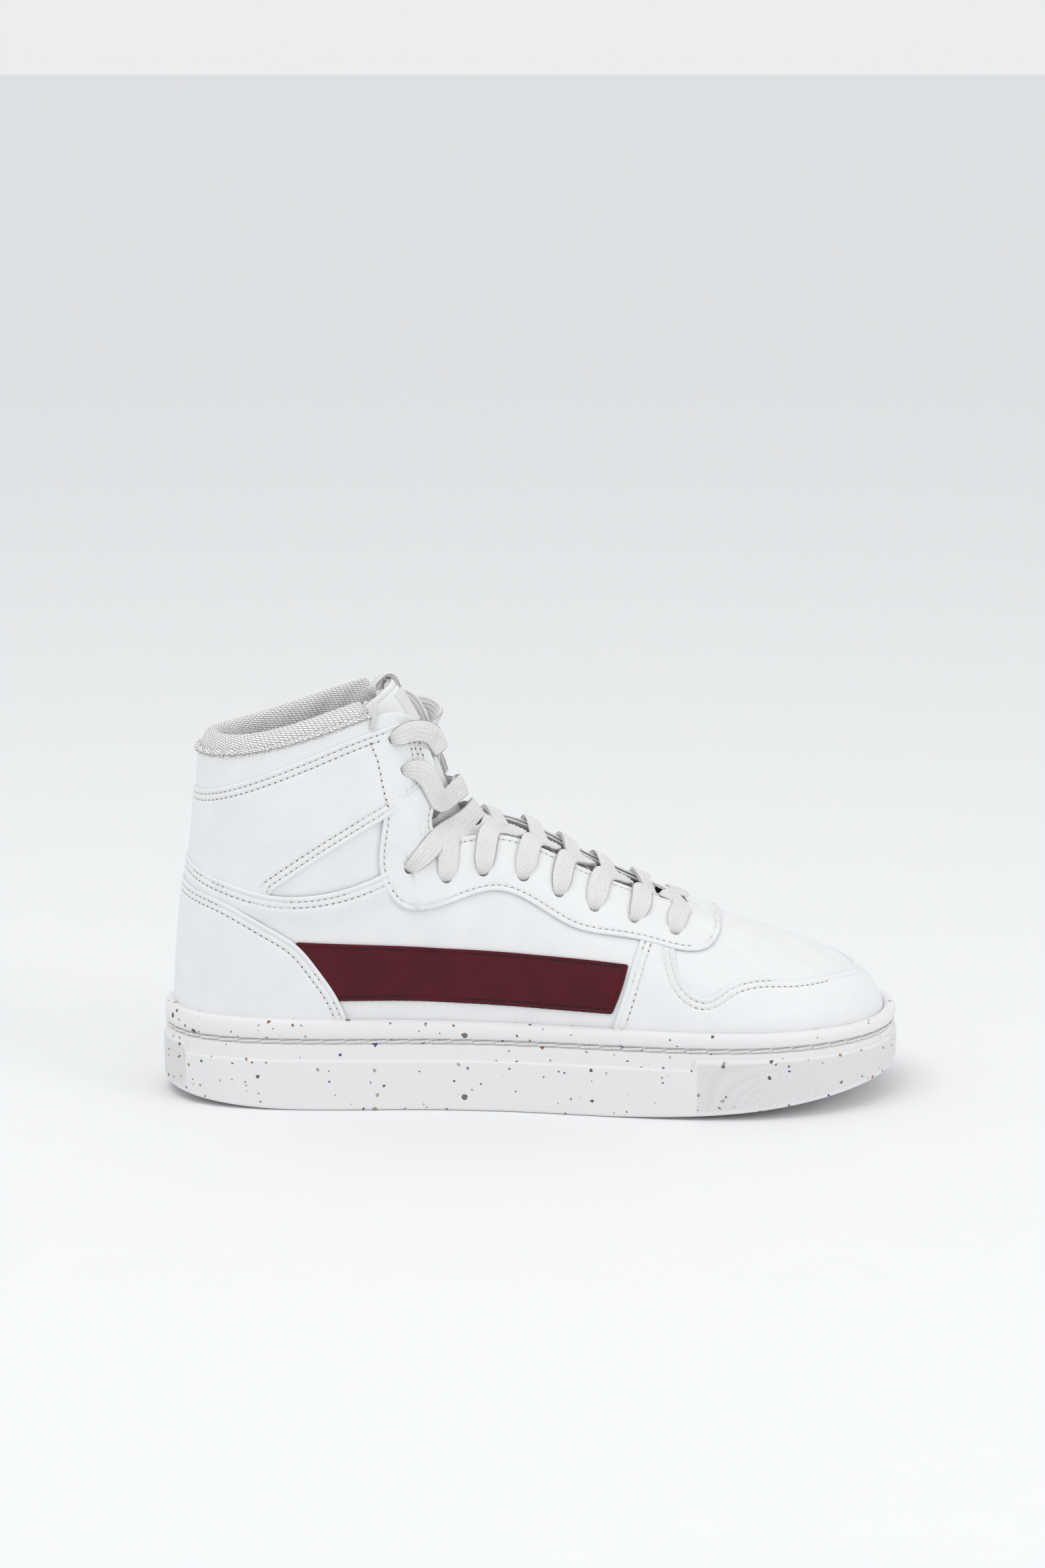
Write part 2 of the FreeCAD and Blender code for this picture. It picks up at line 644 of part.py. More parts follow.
def tongue():
    leather = size("tongue_leather")
    label = size("label_thickness")
    node(tongue_sheet("tongue_face_solid", lambda side: 0, lambda side: leather, (0.0, 9.95), 1.0), "tongue_face")
    node(tongue_sheet("tongue_padding_solid", lambda side: leather + 2 * GAP, padding_back, (0.4, 9.8), 0.93),
         "tongue_padding")
    node(tongue_sheet("tongue_lining_solid", lambda side: padding_back(side) + 2 * GAP,
                      lambda side: padding_back(side) + size("tongue_lining"), (0.3, 9.9), 0.98), "tongue_lining")
    node(tongue_sheet("tongue_label_solid", lambda side: -4 * GAP - label, lambda side: -4 * GAP, (8.35, 9.5), 0.42),
         "tongue_label")


tongue()




def gusset(side):
    """Woven strip between the tongue and the lining, beside the notch."""
    stations = sorted((on_side(side, 4.3), on_side(side, 6.4)))
    columns = spread(stations[0], stations[1], 14)
    rises = spread(0.52, 0.74, 7)
    outer = [[upper_point(s, r, -1.0 - 9 * (r - 0.52)) for r in rises] for s in columns]
    inner = [[upper_point(s, r, -1.6 - 9 * (r - 0.52)) for r in rises] for s in columns]
    return feature("gusset_solid_" + side, closed_patch(inner, outer))


for SIDE in ("lateral", "medial"):
    node(gusset(SIDE), "tongue_gusset_" + SIDE)

# ---------------------------------------------------------------- lace
# One flat woven cord. It lies across the two front eyelets, then each half crosses the throat nine
# times. A half dives into an eyelet from outside, runs back under the eyestay to the throat, rises
# over the tongue and comes down over the opposite edge to the next eyelet.

# Station where the cord leaves under the edge, place on the tongue's crest, height above the crest,
# and station where it comes down over the opposite edge.
CROSSINGS = [(8.65, 0.7, 5.6, 7.57), (7.38, 1.7, 5.6, 6.77), (6.65, 2.55, 5.6, 6.21), (6.12, 3.3, 5.6, 5.77),
             (5.67, 4.1, 5.4, 5.28), (5.18, 4.8, 5.4, 4.87), (4.80, 5.5, 5.2, 4.70), (4.56, 6.3, 4.8, 4.25),
             (4.05, 7.7, 4.4, 3.85)]
FIRST_SHAFT_CROSSING = 5      # from here up the cord follows the steep part of the tongue
NOTCH_CROSSING = 7            # this strand comes up through the notch in front of the ankle flap
OUTSIDE = OVERLAY[1] + size("lace_thickness") / 2 + 0.3
INSIDE = -size("lace_thickness") / 2 - 0.3


def half_lace(side):
    """Places of half the lace from the middle of the front bar: point, face direction, width."""
    wide = size("lace_width")
    narrow = size("eyelet_width")
    places = [(Vector(56.5, 0, 80.2), Vector(0, 0, 1), wide)]
    for station, rise, above in ((8.75, 0.985, 0), (7.75, 0.80, 0.5)):
        place = on_side(side, station)
        places.append((upper_point(place, rise, OUTSIDE + above), normal_at(place, rise), wide))
    face = 1
    for number, (under, run, height, over) in enumerate(CROSSINGS):
        other = "medial" if side == "lateral" else "lateral"
        station, rise = EYELETS[number]
        here = on_side(side, station)
        edge = on_side(side, under)
        there = on_side(other, over)
        out = normal_at(here, rise)
        towards = (upper_point(edge, 1, 0) - upper_point(here, rise, 0)).normalize()

        # into the eyelet and along the inside of the eyestay to its edge
        for depth in (OVERLAY[1], LINING[0]):
            places.append((upper_point(here, rise, depth), towards * -face, narrow))
        hang = 1.3 if number == NOTCH_CROSSING else 0.4
        for share in (0.4, 0.75):
            inner = upper_point(here + (edge - here) * share, rise + (1 - rise) * share, INSIDE - hang)
            places.append((inner, out * -face, wide * (0.7 + 0.3 * share)))
        face = -face
        low_edge = upper_point(edge, 1, INSIDE - 0.6)
        places.append((low_edge, normal_at(edge, 1) * face, wide))

        # over the tongue; the strand that comes down on the lateral side lies on top
        last = number == len(CROSSINGS) - 1
        high_edge = upper_point(there, 1.02 if last else 1.01, OUTSIDE + (1.3 if last else 0.6))
        up = crest_out(run)
        on_top = 1 if other == "lateral" else -1
        middle = tongue_point(run, 0, -height - 1.3 * on_top)
        if number < FIRST_SHAFT_CROSSING:
            rising = (low_edge + middle) / 2 + up * (1.6 if on_top > 0 else 0.2)
            falling = (middle + high_edge) / 2 - up * (0.3 if on_top < 0 else 0.0)
        else:
            start = -1 if side == "lateral" else 1
            if number == NOTCH_CROSSING:
                places.append((tongue_point(run - 0.42, start, -4), up * face, wide))
            rising = tongue_point(run - 0.1, 0.55 * start, -height - 0.6 * on_top)
            falling = tongue_point(run, -0.55 * start, -height - 0.8 * on_top - 0.4)
        for point in (rising, middle, falling):
            places.append((point, up * face, wide))
        places.append((high_edge, normal_at(there, 1) * face, wide))

        # down the outside of the eyestay to the next eyelet
        station, rise = EYELETS[number + 1]
        here = on_side(other, station)
        bow = 1.2 if number + 1 == NOTCH_CROSSING else 0.4
        places.append((upper_point((2 * here + there) / 3, (1 + 2 * rise) / 3, OUTSIDE + bow),
                       normal_at(here, rise) * face, wide * 0.9))
        side = other
    return places, side, face


def ribbon(places):
    """Flat closed solid along places of point, face direction and width."""
    points = [p for p, face, wide in places]
    lengths = [0.0]
    for a, b in zip(points, points[1:]):
        lengths.append(lengths[-1] + (b - a).Length)
    corners = [[], [], [], []]
    half = size("lace_thickness") / 2
    for i, (point, face, wide) in enumerate(places):
        ahead = points[min(i + 1, len(points) - 1)]
        behind = points[max(i - 1, 0)]
        along = (ahead - behind).normalize()
        across_lace = along.cross(face).normalize() * (wide / 2)
        up = across_lace.cross(along).normalize() * half
        corners[0].append(point + across_lace + up)
        corners[1].append(point - across_lace + up)
        corners[2].append(point - across_lace - up)
        corners[3].append(point + across_lace - up)
    curves = []
    for line in corners:
        curve = Part.BSplineCurve()
        curve.interpolate(Points=line, Parameters=lengths)
        curves.append(curve)
    faces = []
    for a, b in zip(curves, curves[1:] + curves[:1]):
        strip = Part.BSplineSurface()
        strip.buildFromPolesMultsKnots([a.getPoles(), b.getPoles()], [2, 2], a.getMultiplicities(),
                                       [0, 1], a.getKnots(), False, False, 1, a.Degree)
        faces.append(strip.toShape())
    for end in (0, -1):
        ring_points = [line[end] for line in corners]
        faces.append(Part.Face(Part.makePolygon(ring_points + ring_points[:1])))
    shell = Part.makeShell(faces)
    shell.sewShape()
    solid = Part.Solid(shell)
    if solid.Volume < 0:
        solid.reverse()
    return solid


def lace():
    wide = size("lace_width")
    narrow = size("eyelet_width")
    station, rise = EYELETS[-1]
    halves = []
    for start in ("lateral", "medial"):
        places, side, face = half_lace(start)
        here = on_side(side, station)
        edge = on_side(side, 3.8)
        towards = (upper_point(edge, 1, 0) - upper_point(here, rise, 0)).normalize()
        for depth in (OVERLAY[1], LINING[0]):
            places.append((upper_point(here, rise, depth), towards * -face, narrow))
        out = normal_at(here, rise)
        if side == "lateral":
            for low in (0.86, 0.76, 0.66):
                tail = on_side(side, 3.46)
                places.append((upper_point(tail, low, INSIDE - 0.4), normal_at(tail, low) * -face, wide))
        else:
            places.append((upper_point(on_side(side, 3.55), 0.955, INSIDE), out * -face, wide))
        halves.append(places)
    first, second = halves
    whole = list(reversed(second)) + first[1:]
    return feature("lace_solid", ribbon(whole))


node(lace(), "lace")


TONGUE_DEPTH = size("tongue_leather") + size("tongue_padding") + size("tongue_lining")
END_LIFT = size("lace_thickness") / 2 + 0.5
END_INSIDE = [(9.4, 0.42), (8.7, 0.40), (8.0, 0.38)]


def behind_tongue(run, side):
    return tongue_point(run, side, 0) - tongue_out(run, side) * (TONGUE_DEPTH + END_LIFT)


def lace_end():
    """Free end that runs up the face of the tongue, over its top and into the shoe."""
    wide = size("lace_width")
    places = []
    for run, side in ((8.55, 0.62), (9.1, 0.55), (9.6, 0.50)):
        out = tongue_out(run, side)
        places.append((tongue_point(run, side, 0) + out * END_LIFT, out, wide))
    top = tongue_point(9.95, 0.46, 0)
    up = TONGUE_CREST.tangent(10)[0]
    out = tongue_out(9.95, 0.46)
    places.append((top + up * 1.8 + out * 0.5, (up + out).normalize(), wide))
    places.append((top + up * 2.4 - out * (TONGUE_DEPTH / 2), up, wide))
    places.append((top + up * 0.8 - out * (TONGUE_DEPTH + END_LIFT), (up - out).normalize(), wide))
    for run, side in END_INSIDE:
        places.append((behind_tongue(run, side), tongue_out(run, side) * -1, wide))
    return feature("lace_end_solid", ribbon(places))


node(lace_end(), "lace_end")


def aglet(name, before, end):
    """Plastic tip that carries on from the end of the cord."""
    away = (end - before).normalize()
    tip = doc.addObject("Part::Cylinder", name)
    tip.setExpression("Radius", "Dimensions.aglet_diameter / 2")
    tip.setExpression("Height", "Dimensions.aglet_length")
    tip.Placement = Placement(end + away * 0.7, Rotation(Vector(0, 0, 1), away))
    return tip


def aglets():
    tail = on_side("lateral", 3.46)
    node(aglet("aglet_lateral_pin", upper_point(tail, 0.76, INSIDE + 0.2), upper_point(tail, 0.66, INSIDE - 0.9)),
         "aglet_lateral")
    tipped = Vector(-0.8, 0, 0)
    before, end = [behind_tongue(run, side) for run, side in END_INSIDE[-2:]]
    node(aglet("aglet_medial_pin", before - tipped, end + tipped), "aglet_medial")


aglets()

# ---------------------------------------------------------------- finish

doc.recompute()


def failed(item):
    return "Invalid" in item.State or "Error" in item.State


broken = [item.Name for item in doc.Objects if failed(item)]
broken += [item.Label for item in NODES if item.Shape.isNull() or not item.Shape.isValid()]
if broken:
    raise RuntimeError("these did not build: " + ", ".join(broken))

os.makedirs("parts", exist_ok=True)
for item in NODES:
    item.Shape.exportStep(os.path.join("parts", item.Label + ".step"))
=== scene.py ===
import math

import bmesh
import bpy
import numpy as np
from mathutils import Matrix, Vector
from mathutils.geometry import delaunay_2d_cdt
from mathutils.kdtree import KDTree


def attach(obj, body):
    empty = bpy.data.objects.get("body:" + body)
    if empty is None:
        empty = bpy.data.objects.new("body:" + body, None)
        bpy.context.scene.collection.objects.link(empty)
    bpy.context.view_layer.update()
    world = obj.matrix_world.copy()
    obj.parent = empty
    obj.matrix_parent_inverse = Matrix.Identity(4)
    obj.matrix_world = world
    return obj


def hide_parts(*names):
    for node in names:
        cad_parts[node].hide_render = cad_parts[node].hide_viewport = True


# A right basketball high top. Lengths in this file are millimetres until a mesh is made.
# A place on the upper is (station, rise, depth): the station runs once round the shoe from 0 at the
# heel over 11 at the toe to 22, the rise from 0 at the sole to 1 at the top edge, and the depth
# outwards from the inner face. This is the same frame of reference as the CAD model's.

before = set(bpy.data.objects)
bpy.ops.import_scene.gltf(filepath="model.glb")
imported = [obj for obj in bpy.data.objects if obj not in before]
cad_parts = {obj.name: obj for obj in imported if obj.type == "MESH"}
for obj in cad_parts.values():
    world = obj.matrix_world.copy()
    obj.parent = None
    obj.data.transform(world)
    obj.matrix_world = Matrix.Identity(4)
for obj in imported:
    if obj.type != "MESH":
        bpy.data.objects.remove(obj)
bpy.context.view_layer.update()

MM = 0.001
STATIONS = 22
TOE = 11
LEATHER_DEPTH = 2.8           # outer face of the base leather, where distances on the upper are taken


# ---------------------------------------------------------------- camera, floor and light

CAMERA_LENS = 84.56
SENSOR_WIDTH = 36
CAMERA_DISTANCE = 1.5
CAMERA_ELEVATION = math.radians(13)
CAMERA_AIM = (-0.0035, 0.0449)          # right of and above the middle of the shoe, in metres
FLOOR_REACH = 60
WORLD_LIGHT = 0.86
KEY_LIGHT = 6
SIDE_LIGHT = 4


def camera():
    data = bpy.data.cameras.new("camera")
    data.lens = CAMERA_LENS
    data.sensor_width = SENSOR_WIDTH
    data.clip_end = 200
    cam = bpy.data.objects.new("camera", data)
    bpy.context.scene.collection.objects.link(cam)
    middle = Vector((0, 0, 0.08))
    back = Vector((0, -math.cos(CAMERA_ELEVATION), math.sin(CAMERA_ELEVATION)))
    up = Vector((0, math.sin(CAMERA_ELEVATION), math.cos(CAMERA_ELEVATION)))
    cam.location = middle + back * CAMERA_DISTANCE
    aim = middle + Vector((CAMERA_AIM[0], 0, 0)) + up * CAMERA_AIM[1]
    cam.rotation_euler = (aim - cam.location).to_track_quat("-Z", "Y").to_euler()
    bpy.context.scene.camera = cam


def area_light(name, location, size, power):
    data = bpy.data.lights.new(name, "AREA")
    data.shape = "DISK"
    data.size = size
    data.energy = power
    light = bpy.data.objects.new(name, data)
    bpy.context.scene.collection.objects.link(light)
    light.location = location
    light.rotation_euler = (Vector((0, 0, 0.05)) - light.location).to_track_quat("-Z", "Y").to_euler()


def studio():
    world = bpy.data.worlds.new("studio")
    bpy.context.scene.world = world
    world.use_nodes = True
    background = world.node_tree.nodes["Background"]
    background.inputs["Color"].default_value = (0.97, 0.985, 1, 1)
    background.inputs["Strength"].default_value = WORLD_LIGHT
    bpy.context.scene.view_settings.view_transform = "Standard"
    area_light("key", (-0.5, -0.5, 1.6), 1.1, KEY_LIGHT)
    area_light("side", (1.3, -0.9, 0.9), 0.8, SIDE_LIGHT)
    corners = [(x * FLOOR_REACH, y * FLOOR_REACH, 0) for x, y in ((-1, -1), (1, -1), (1, 1), (-1, 1))]
    floor = mesh_object("floor", corners, [(0, 1, 2, 3)], 1.0)
    floor.data.materials.append(pale_floor())


# ---------------------------------------------------------------- mesh helpers

def mesh_object(name, points, faces, unit=MM, smooth=True):
    mesh = bpy.data.meshes.new(name)
    mesh.from_pydata([tuple(p) for p in np.asarray(points, float) * unit], [], [tuple(f) for f in faces])
    mesh.validate()
    if smooth:
        mesh.shade_smooth()
    obj = bpy.data.objects.new(name, mesh)
    bpy.context.scene.collection.objects.link(obj)
    return obj


def grid_faces(rows, columns, close_rows=False, close_columns=False):
    faces = []
    for i in range(rows if close_rows else rows - 1):
        for j in range(columns if close_columns else columns - 1):
            a = (i + 1) % rows
            b = (j + 1) % columns
            faces.append((i * columns + j, a * columns + j, a * columns + b, i * columns + b))
    return faces


def add_uv(obj, coordinates):
    """Stores one place in millimetres for each vertex, which woven materials read."""
    layer = obj.data.uv_layers.new(name="cloth")
    corner = np.zeros(len(obj.data.loops), np.int32)
    obj.data.loops.foreach_get("vertex_index", corner)
    layer.data.foreach_set("uv", np.asarray(coordinates, np.float32)[corner].ravel())


def piece(obj, body, slot, material, *nodes):
    obj.data.materials.append(material)
    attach(obj, body)
    if nodes:
        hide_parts(*nodes)
    return obj


def unit(vectors):
    return vectors / np.linalg.norm(vectors, axis=-1, keepdims=True)


def smooth_step(value, low, high):
    t = np.clip((value - low) / (high - low), 0, 1)
    return t * t * (3 - 2 * t)


def end_caps(sides, count):
    """Faces that close the two ends of a tube of count points."""
    return [tuple(range(sides)), tuple(reversed(range(count - sides, count)))]


def tube(line, radii, sides, up=(0, 0, 1)):
    """Tube along points; radii is one number, or one row of radii for each point."""
    along = unit(np.gradient(line, axis=0))
    side = unit(np.cross(along, up))
    lifted = np.cross(side, along)
    angles = np.arange(sides) * 2 * math.pi / sides
    radii = np.broadcast_to(radii, (len(line), sides))
    points = (line[:, None] + side[:, None] * (np.cos(angles) * radii)[..., None]
              + lifted[:, None] * (np.sin(angles) * radii)[..., None]).reshape(-1, 3)
    faces = [f[::-1] for f in grid_faces(len(line), sides, close_columns=True)]
    return points, faces + end_caps(sides, len(points))


def reach_of(points):
    """Distance along a line of points, from its start to each of them."""
    return np.append(0, np.cumsum(np.linalg.norm(np.diff(points, axis=0), axis=1)))


def read_at(at, reach, values):
    """Values of a line at given distances along it."""
    return np.stack([np.interp(at, reach, column) for column in values.T], -1)


def span_across(loop, x):
    """Lowest and highest y of a closed loop at one x, equal where the loop isn't crossed."""
    crossings = []
    for a, b in zip(loop, np.roll(loop, -1, axis=0)):
        if (a[0] - x) * (b[0] - x) <= 0 and a[0] != b[0]:
            crossings.append(a[1] + (b[1] - a[1]) * (x - a[0]) / (b[0] - a[0]))
    return (min(crossings), max(crossings)) if crossings else (0.0, 0.0)


# ---------------------------------------------------------------- materials

class Look:
    """A material while it is made: its nodes, and short ways to add and join them."""

    def __init__(self, name):
        self.material = bpy.data.materials.new(name)
        self.material.use_nodes = True
        self.nodes = self.material.node_tree.nodes
        self.shader = self.nodes["Principled BSDF"]

    def link(self, source, target):
        self.material.node_tree.links.new(source, target)

    def add(self, kind, **inputs):
        made = self.nodes.new("ShaderNode" + kind)
        for key, value in inputs.items():
            made.inputs[key.replace("_", " ")].default_value = value
        return made

    def set(self, **inputs):
        for key, value in inputs.items():
            self.shader.inputs[key.replace("_", " ")].default_value = value

    def object_place(self):
        return self.add("TexCoord").outputs["Object"]

    def cloth_place(self):
        made = self.add("UVMap")
        made.uv_map = "cloth"
        return made.outputs["UV"]

    def turned(self, place, angle):
        made = self.add("Mapping", Rotation=(0, 0, angle))
        self.link(place, made.inputs["Vector"])
        return made.outputs["Vector"]

    def shifted(self, place, noise, amount):
        """A place moved by a noise colour times an amount."""
        made = self.add("VectorMath")
        made.operation = "MULTIPLY_ADD"
        self.link(noise.outputs["Color"], made.inputs[0])
        made.inputs[1].default_value = amount
        self.link(place, made.inputs[2])
        return made.outputs["Vector"]

    def texture(self, kind, place, **inputs):
        made = self.add("Tex" + kind, **inputs)
        self.link(place, made.inputs["Vector"])
        return made

    def maths(self, operation, first, second):
        """Output of a maths node on a socket and a second socket or a number."""
        made = self.add("Math")
        made.operation = operation
        self.link(first, made.inputs[0])
        if isinstance(second, float):
            made.inputs[1].default_value = second
        else:
            self.link(second, made.inputs[1])
        return made.outputs[0]

    def ramp(self, source, stops):
        made = self.add("ValToRGB")
        elements = made.color_ramp.elements
        while len(elements) < len(stops):
            elements.new(0.5)
        for element, (place, colour) in zip(elements, stops):
            element.position = place
            element.color = (*colour, 1)
        self.link(source, made.inputs["Fac"])
        return made

    def colour(self, source, stops):
        self.link(self.ramp(source, stops).outputs["Color"], self.shader.inputs["Base Color"])

    def roughness(self, source, low, high):
        made = self.add("MapRange", To_Min=low, To_Max=high)
        self.link(source, made.inputs["Value"])
        self.link(made.outputs["Result"], self.shader.inputs["Roughness"])

    def bump(self, *sources):
        """Chains bumps, each a height socket, a distance in metres and a strength."""
        previous = None
        for height, distance, strength in sources:
            made = self.add("Bump", Distance=distance, Strength=strength)
            self.link(height, made.inputs["Height"])
            if previous:
                self.link(previous.outputs["Normal"], made.inputs["Normal"])
            previous = made
        self.link(previous.outputs["Normal"], self.shader.inputs["Normal"])

    def crossed_waves(self, place, operation, waves, **inputs):
        """Two sets of bands across each other; waves holds the angle and scale of each."""
        rows = []
        for angle, scale in waves:
            wave = self.texture("Wave", self.turned(place, angle), Scale=scale, Detail=1, **inputs)
            wave.bands_direction = "X"
            rows.append(wave.outputs["Fac"])
        return self.maths(operation, *rows)


def leather(name, light, dark, roughness, grain=1.0, gloss=0.45):
    """Pebbled synthetic leather: fine cells, a slow swell, and colour that drifts a little."""
    look = Look(name)
    place = look.object_place()
    cells = look.texture("Voronoi", place, Scale=1500, Randomness=1)
    fine = look.texture("Noise", place, Scale=2600, Detail=2)
    swell = look.texture("Noise", place, Scale=90, Detail=3)
    look.colour(swell.outputs["Fac"], [(0.3, dark), (0.7, light)])
    look.roughness(fine.outputs["Fac"], roughness - 0.06, roughness + 0.06)
    look.bump((cells.outputs["Distance"], 0.00012 * grain, 0.45),
              (fine.outputs["Fac"], 0.00006 * grain, 0.4),
              (swell.outputs["Fac"], 0.0012, 0.12))
    look.set(Specular_IOR_Level=gloss)
    return look.material


def pale_floor():
    look = Look("pale_floor")
    noise = look.texture("Noise", look.object_place(), Scale=40, Detail=2)
    look.colour(noise.outputs["Fac"], [(0, (0.86, 0.865, 0.87)), (1, (0.875, 0.88, 0.885))])
    look.set(Roughness=0.9, Specular_IOR_Level=0.1)
    return look.material


RUBBER_WHITE = (0.80, 0.795, 0.80)
# Scale of the cells, size of the flecks in them and share of the cells that have one.
FLECK_LAYERS = [(110, 0.135, 0.22), (210, 0.16, 0.26), (360, 0.19, 0.22)]
FLECK_COLOURS = [(0.0, (0.10, 0.085, 0.08)), (0.25, (0.27, 0.13, 0.06)), (0.45, (0.36, 0.24, 0.14)),
                 (0.6, (0.14, 0.15, 0.15)), (0.75, (0.42, 0.37, 0.31)), (0.93, (0.13, 0.06, 0.22)),
                 (1.0, (0.05, 0.05, 0.05))]
FIRST_COLOUR = 6              # sockets of the colour mix node
SECOND_COLOUR = 7
MIXED_COLOUR = 2


def speckled_rubber():
    """White rubber with scattered recycled flecks, most brown or grey and a few purple."""
    look = Look("speckled_rubber")
    place = look.object_place()
    wobble = look.texture("Noise", place, Scale=900, Detail=2)
    moved = look.shifted(place, wobble, (0.0014, 0.0014, 0.0014))
    colour = None
    for scale, size, share in FLECK_LAYERS:
        cells = look.texture("Voronoi", moved, Scale=scale, Randomness=1)
        parts = look.add("SeparateColor")
        look.link(cells.outputs["Color"], parts.inputs["Color"])
        chosen = look.maths("LESS_THAN", parts.outputs["Red"], share)
        near = look.maths("LESS_THAN", cells.outputs["Distance"], size)
        fleck = look.ramp(parts.outputs["Green"], FLECK_COLOURS)
        fleck.color_ramp.interpolation = "CONSTANT"
        mix = look.add("Mix")
        mix.data_type = "RGBA"
        look.link(look.maths("MULTIPLY", chosen, near), mix.inputs[0])
        if colour:
            look.link(colour, mix.inputs[FIRST_COLOUR])
        else:
            mix.inputs[FIRST_COLOUR].default_value = (*RUBBER_WHITE, 1)
        look.link(fleck.outputs["Color"], mix.inputs[SECOND_COLOUR])
        colour = mix.outputs[MIXED_COLOUR]
    look.link(colour, look.shader.inputs["Base Color"])
    grain = look.texture("Noise", place, Scale=1400, Detail=3)
    look.roughness(grain.outputs["Fac"], 0.42, 0.58)
    look.bump((grain.outputs["Fac"], 0.00006, 0.35))
    return look.material


WAVE_SCALE = 0.314            # scale of a wave texture whose bands are one unit apart


def woven(name, light, dark, pitch, height, roughness=0.85, sheen=0.25):
    """Cloth of crossing threads: two wave patterns across each other, and loose fibres."""
    look = Look(name)
    place = look.cloth_place()
    waves = ((0.0, WAVE_SCALE / pitch[0]), (math.pi / 2, WAVE_SCALE / pitch[1]))
    weave = look.crossed_waves(place, "MULTIPLY", waves, Distortion=0.25)
    fibre = look.texture("Noise", place, Scale=4, Detail=4)
    look.colour(weave, [(0.0, dark), (0.35, light)])
    look.roughness(fibre.outputs["Fac"], roughness - 0.08, roughness + 0.08)
    look.bump((weave, height, 0.8), (fibre.outputs["Fac"], 0.0001, 0.5))
    look.set(Sheen_Weight=sheen, Sheen_Roughness=0.5, Specular_IOR_Level=0.2)
    return look.material


def spacer_mesh():
    """Knitted spacer mesh: staggered rice-grain bumps."""
    look = Look("knitted_mesh")
    place = look.cloth_place()
    bend = look.texture("Noise", place, Scale=1.3, Detail=2)
    moved = look.shifted(look.turned(place, 0.35), bend, (0.35, 0.35, 0))
    bricks = look.texture("Brick", moved, Scale=1, Mortar_Size=0.16, Mortar_Smooth=1, Brick_Width=1.8,
                          Row_Height=0.9, Color1=(1, 1, 1, 1), Color2=(0.9, 0.9, 0.9, 1), Mortar=(0, 0, 0, 1))
    look.colour(bricks.outputs["Color"], [(0.0, (0.66, 0.65, 0.63)), (0.5, (0.93, 0.925, 0.91))])
    fibre = look.texture("Noise", place, Scale=6, Detail=4)
    look.roughness(fibre.outputs["Fac"], 0.75, 0.95)
    look.bump((bricks.outputs["Color"], 0.0007, 0.9), (fibre.outputs["Fac"], 0.00015, 0.5))
    look.set(Sheen_Weight=0.3, Specular_IOR_Level=0.15)
    return look.material


def braided_cotton():
    """Tubular braid: two sets of slanted stitches that cross."""
    look = Look("braided_cotton")
    place = look.cloth_place()
    weave = look.crossed_waves(place, "MAXIMUM", ((0.9, 0.36), (-0.9, 0.36)), Distortion=0.8)
    fibre = look.texture("Noise", place, Scale=5, Detail=5, Roughness=0.7)
    look.colour(weave, [(0.1, (0.74, 0.735, 0.72)), (0.55, (0.90, 0.895, 0.88))])
    look.roughness(fibre.outputs["Fac"], 0.8, 1.0)
    look.bump((weave, 0.00035, 0.75), (fibre.outputs["Fac"], 0.00025, 0.6))
    look.set(Sheen_Weight=0.45, Sheen_Roughness=0.6, Specular_IOR_Level=0.1, Subsurface_Weight=0.15,
             Subsurface_Radius=(0.001, 0.001, 0.001))
    return look.material


def fibrous(name, light, dark, scale, roughness):
    """Thread, foam or board: noise in colour, roughness and height."""
    look = Look(name)
    noise = look.texture("Noise", look.object_place(), Scale=scale, Detail=4)
    look.colour(noise.outputs["Fac"], [(0.3, dark), (0.7, light)])
    look.roughness(noise.outputs["Fac"], roughness - 0.1, roughness + 0.1)
    look.bump((noise.outputs["Fac"], 0.0002, 0.5))
    return look.material


WHITE = leather("white_leather", (0.835, 0.84, 0.845), (0.80, 0.805, 0.812), 0.44)
MAROON = leather("maroon_leather", (0.088, 0.002, 0.010), (0.066, 0.0015, 0.008), 0.48, 1.3, 0.25)
RUBBER = speckled_rubber()
MESH = spacer_mesh()
COTTON = braided_cotton()
THREAD = fibrous("white_thread", (0.84, 0.835, 0.82), (0.72, 0.71, 0.69), 2500, 0.7)
DARK_THREAD = fibrous("dark_thread", (0.03, 0.006, 0.01), (0.015, 0.003, 0.005), 2500, 0.7)
# Dark material for the needle-hole dimples: painted shade standing for the depth of each hole.
HOLE_SHADE = fibrous("needle_hole_shade", (0.16, 0.15, 0.14), (0.09, 0.085, 0.08), 900, 0.9)
FOAM = fibrous("foam", (0.80, 0.79, 0.76), (0.70, 0.69, 0.66), 1800, 0.9)
BOARD = fibrous("fibre_board", (0.62, 0.55, 0.44), (0.50, 0.44, 0.34), 700, 0.9)
CLEAR_TIP = fibrous("aglet_plastic", (0.84, 0.84, 0.83), (0.80, 0.80, 0.79), 300, 0.2)
TWILL = woven("lining_twill", (0.83, 0.825, 0.81), (0.66, 0.65, 0.63), (0.8, 0.8), 0.00025)
TWILL_PLAIN = fibrous("lining_cloth", (0.82, 0.81, 0.79), (0.70, 0.69, 0.67), 2200, 0.85)
LABEL = woven("label_cloth", (0.85, 0.85, 0.84), (0.74, 0.74, 0.73), (0.35, 0.6), 0.00012, 0.6, 0.1)

camera()
studio()


# ---------------------------------------------------------------- the shape of the upper

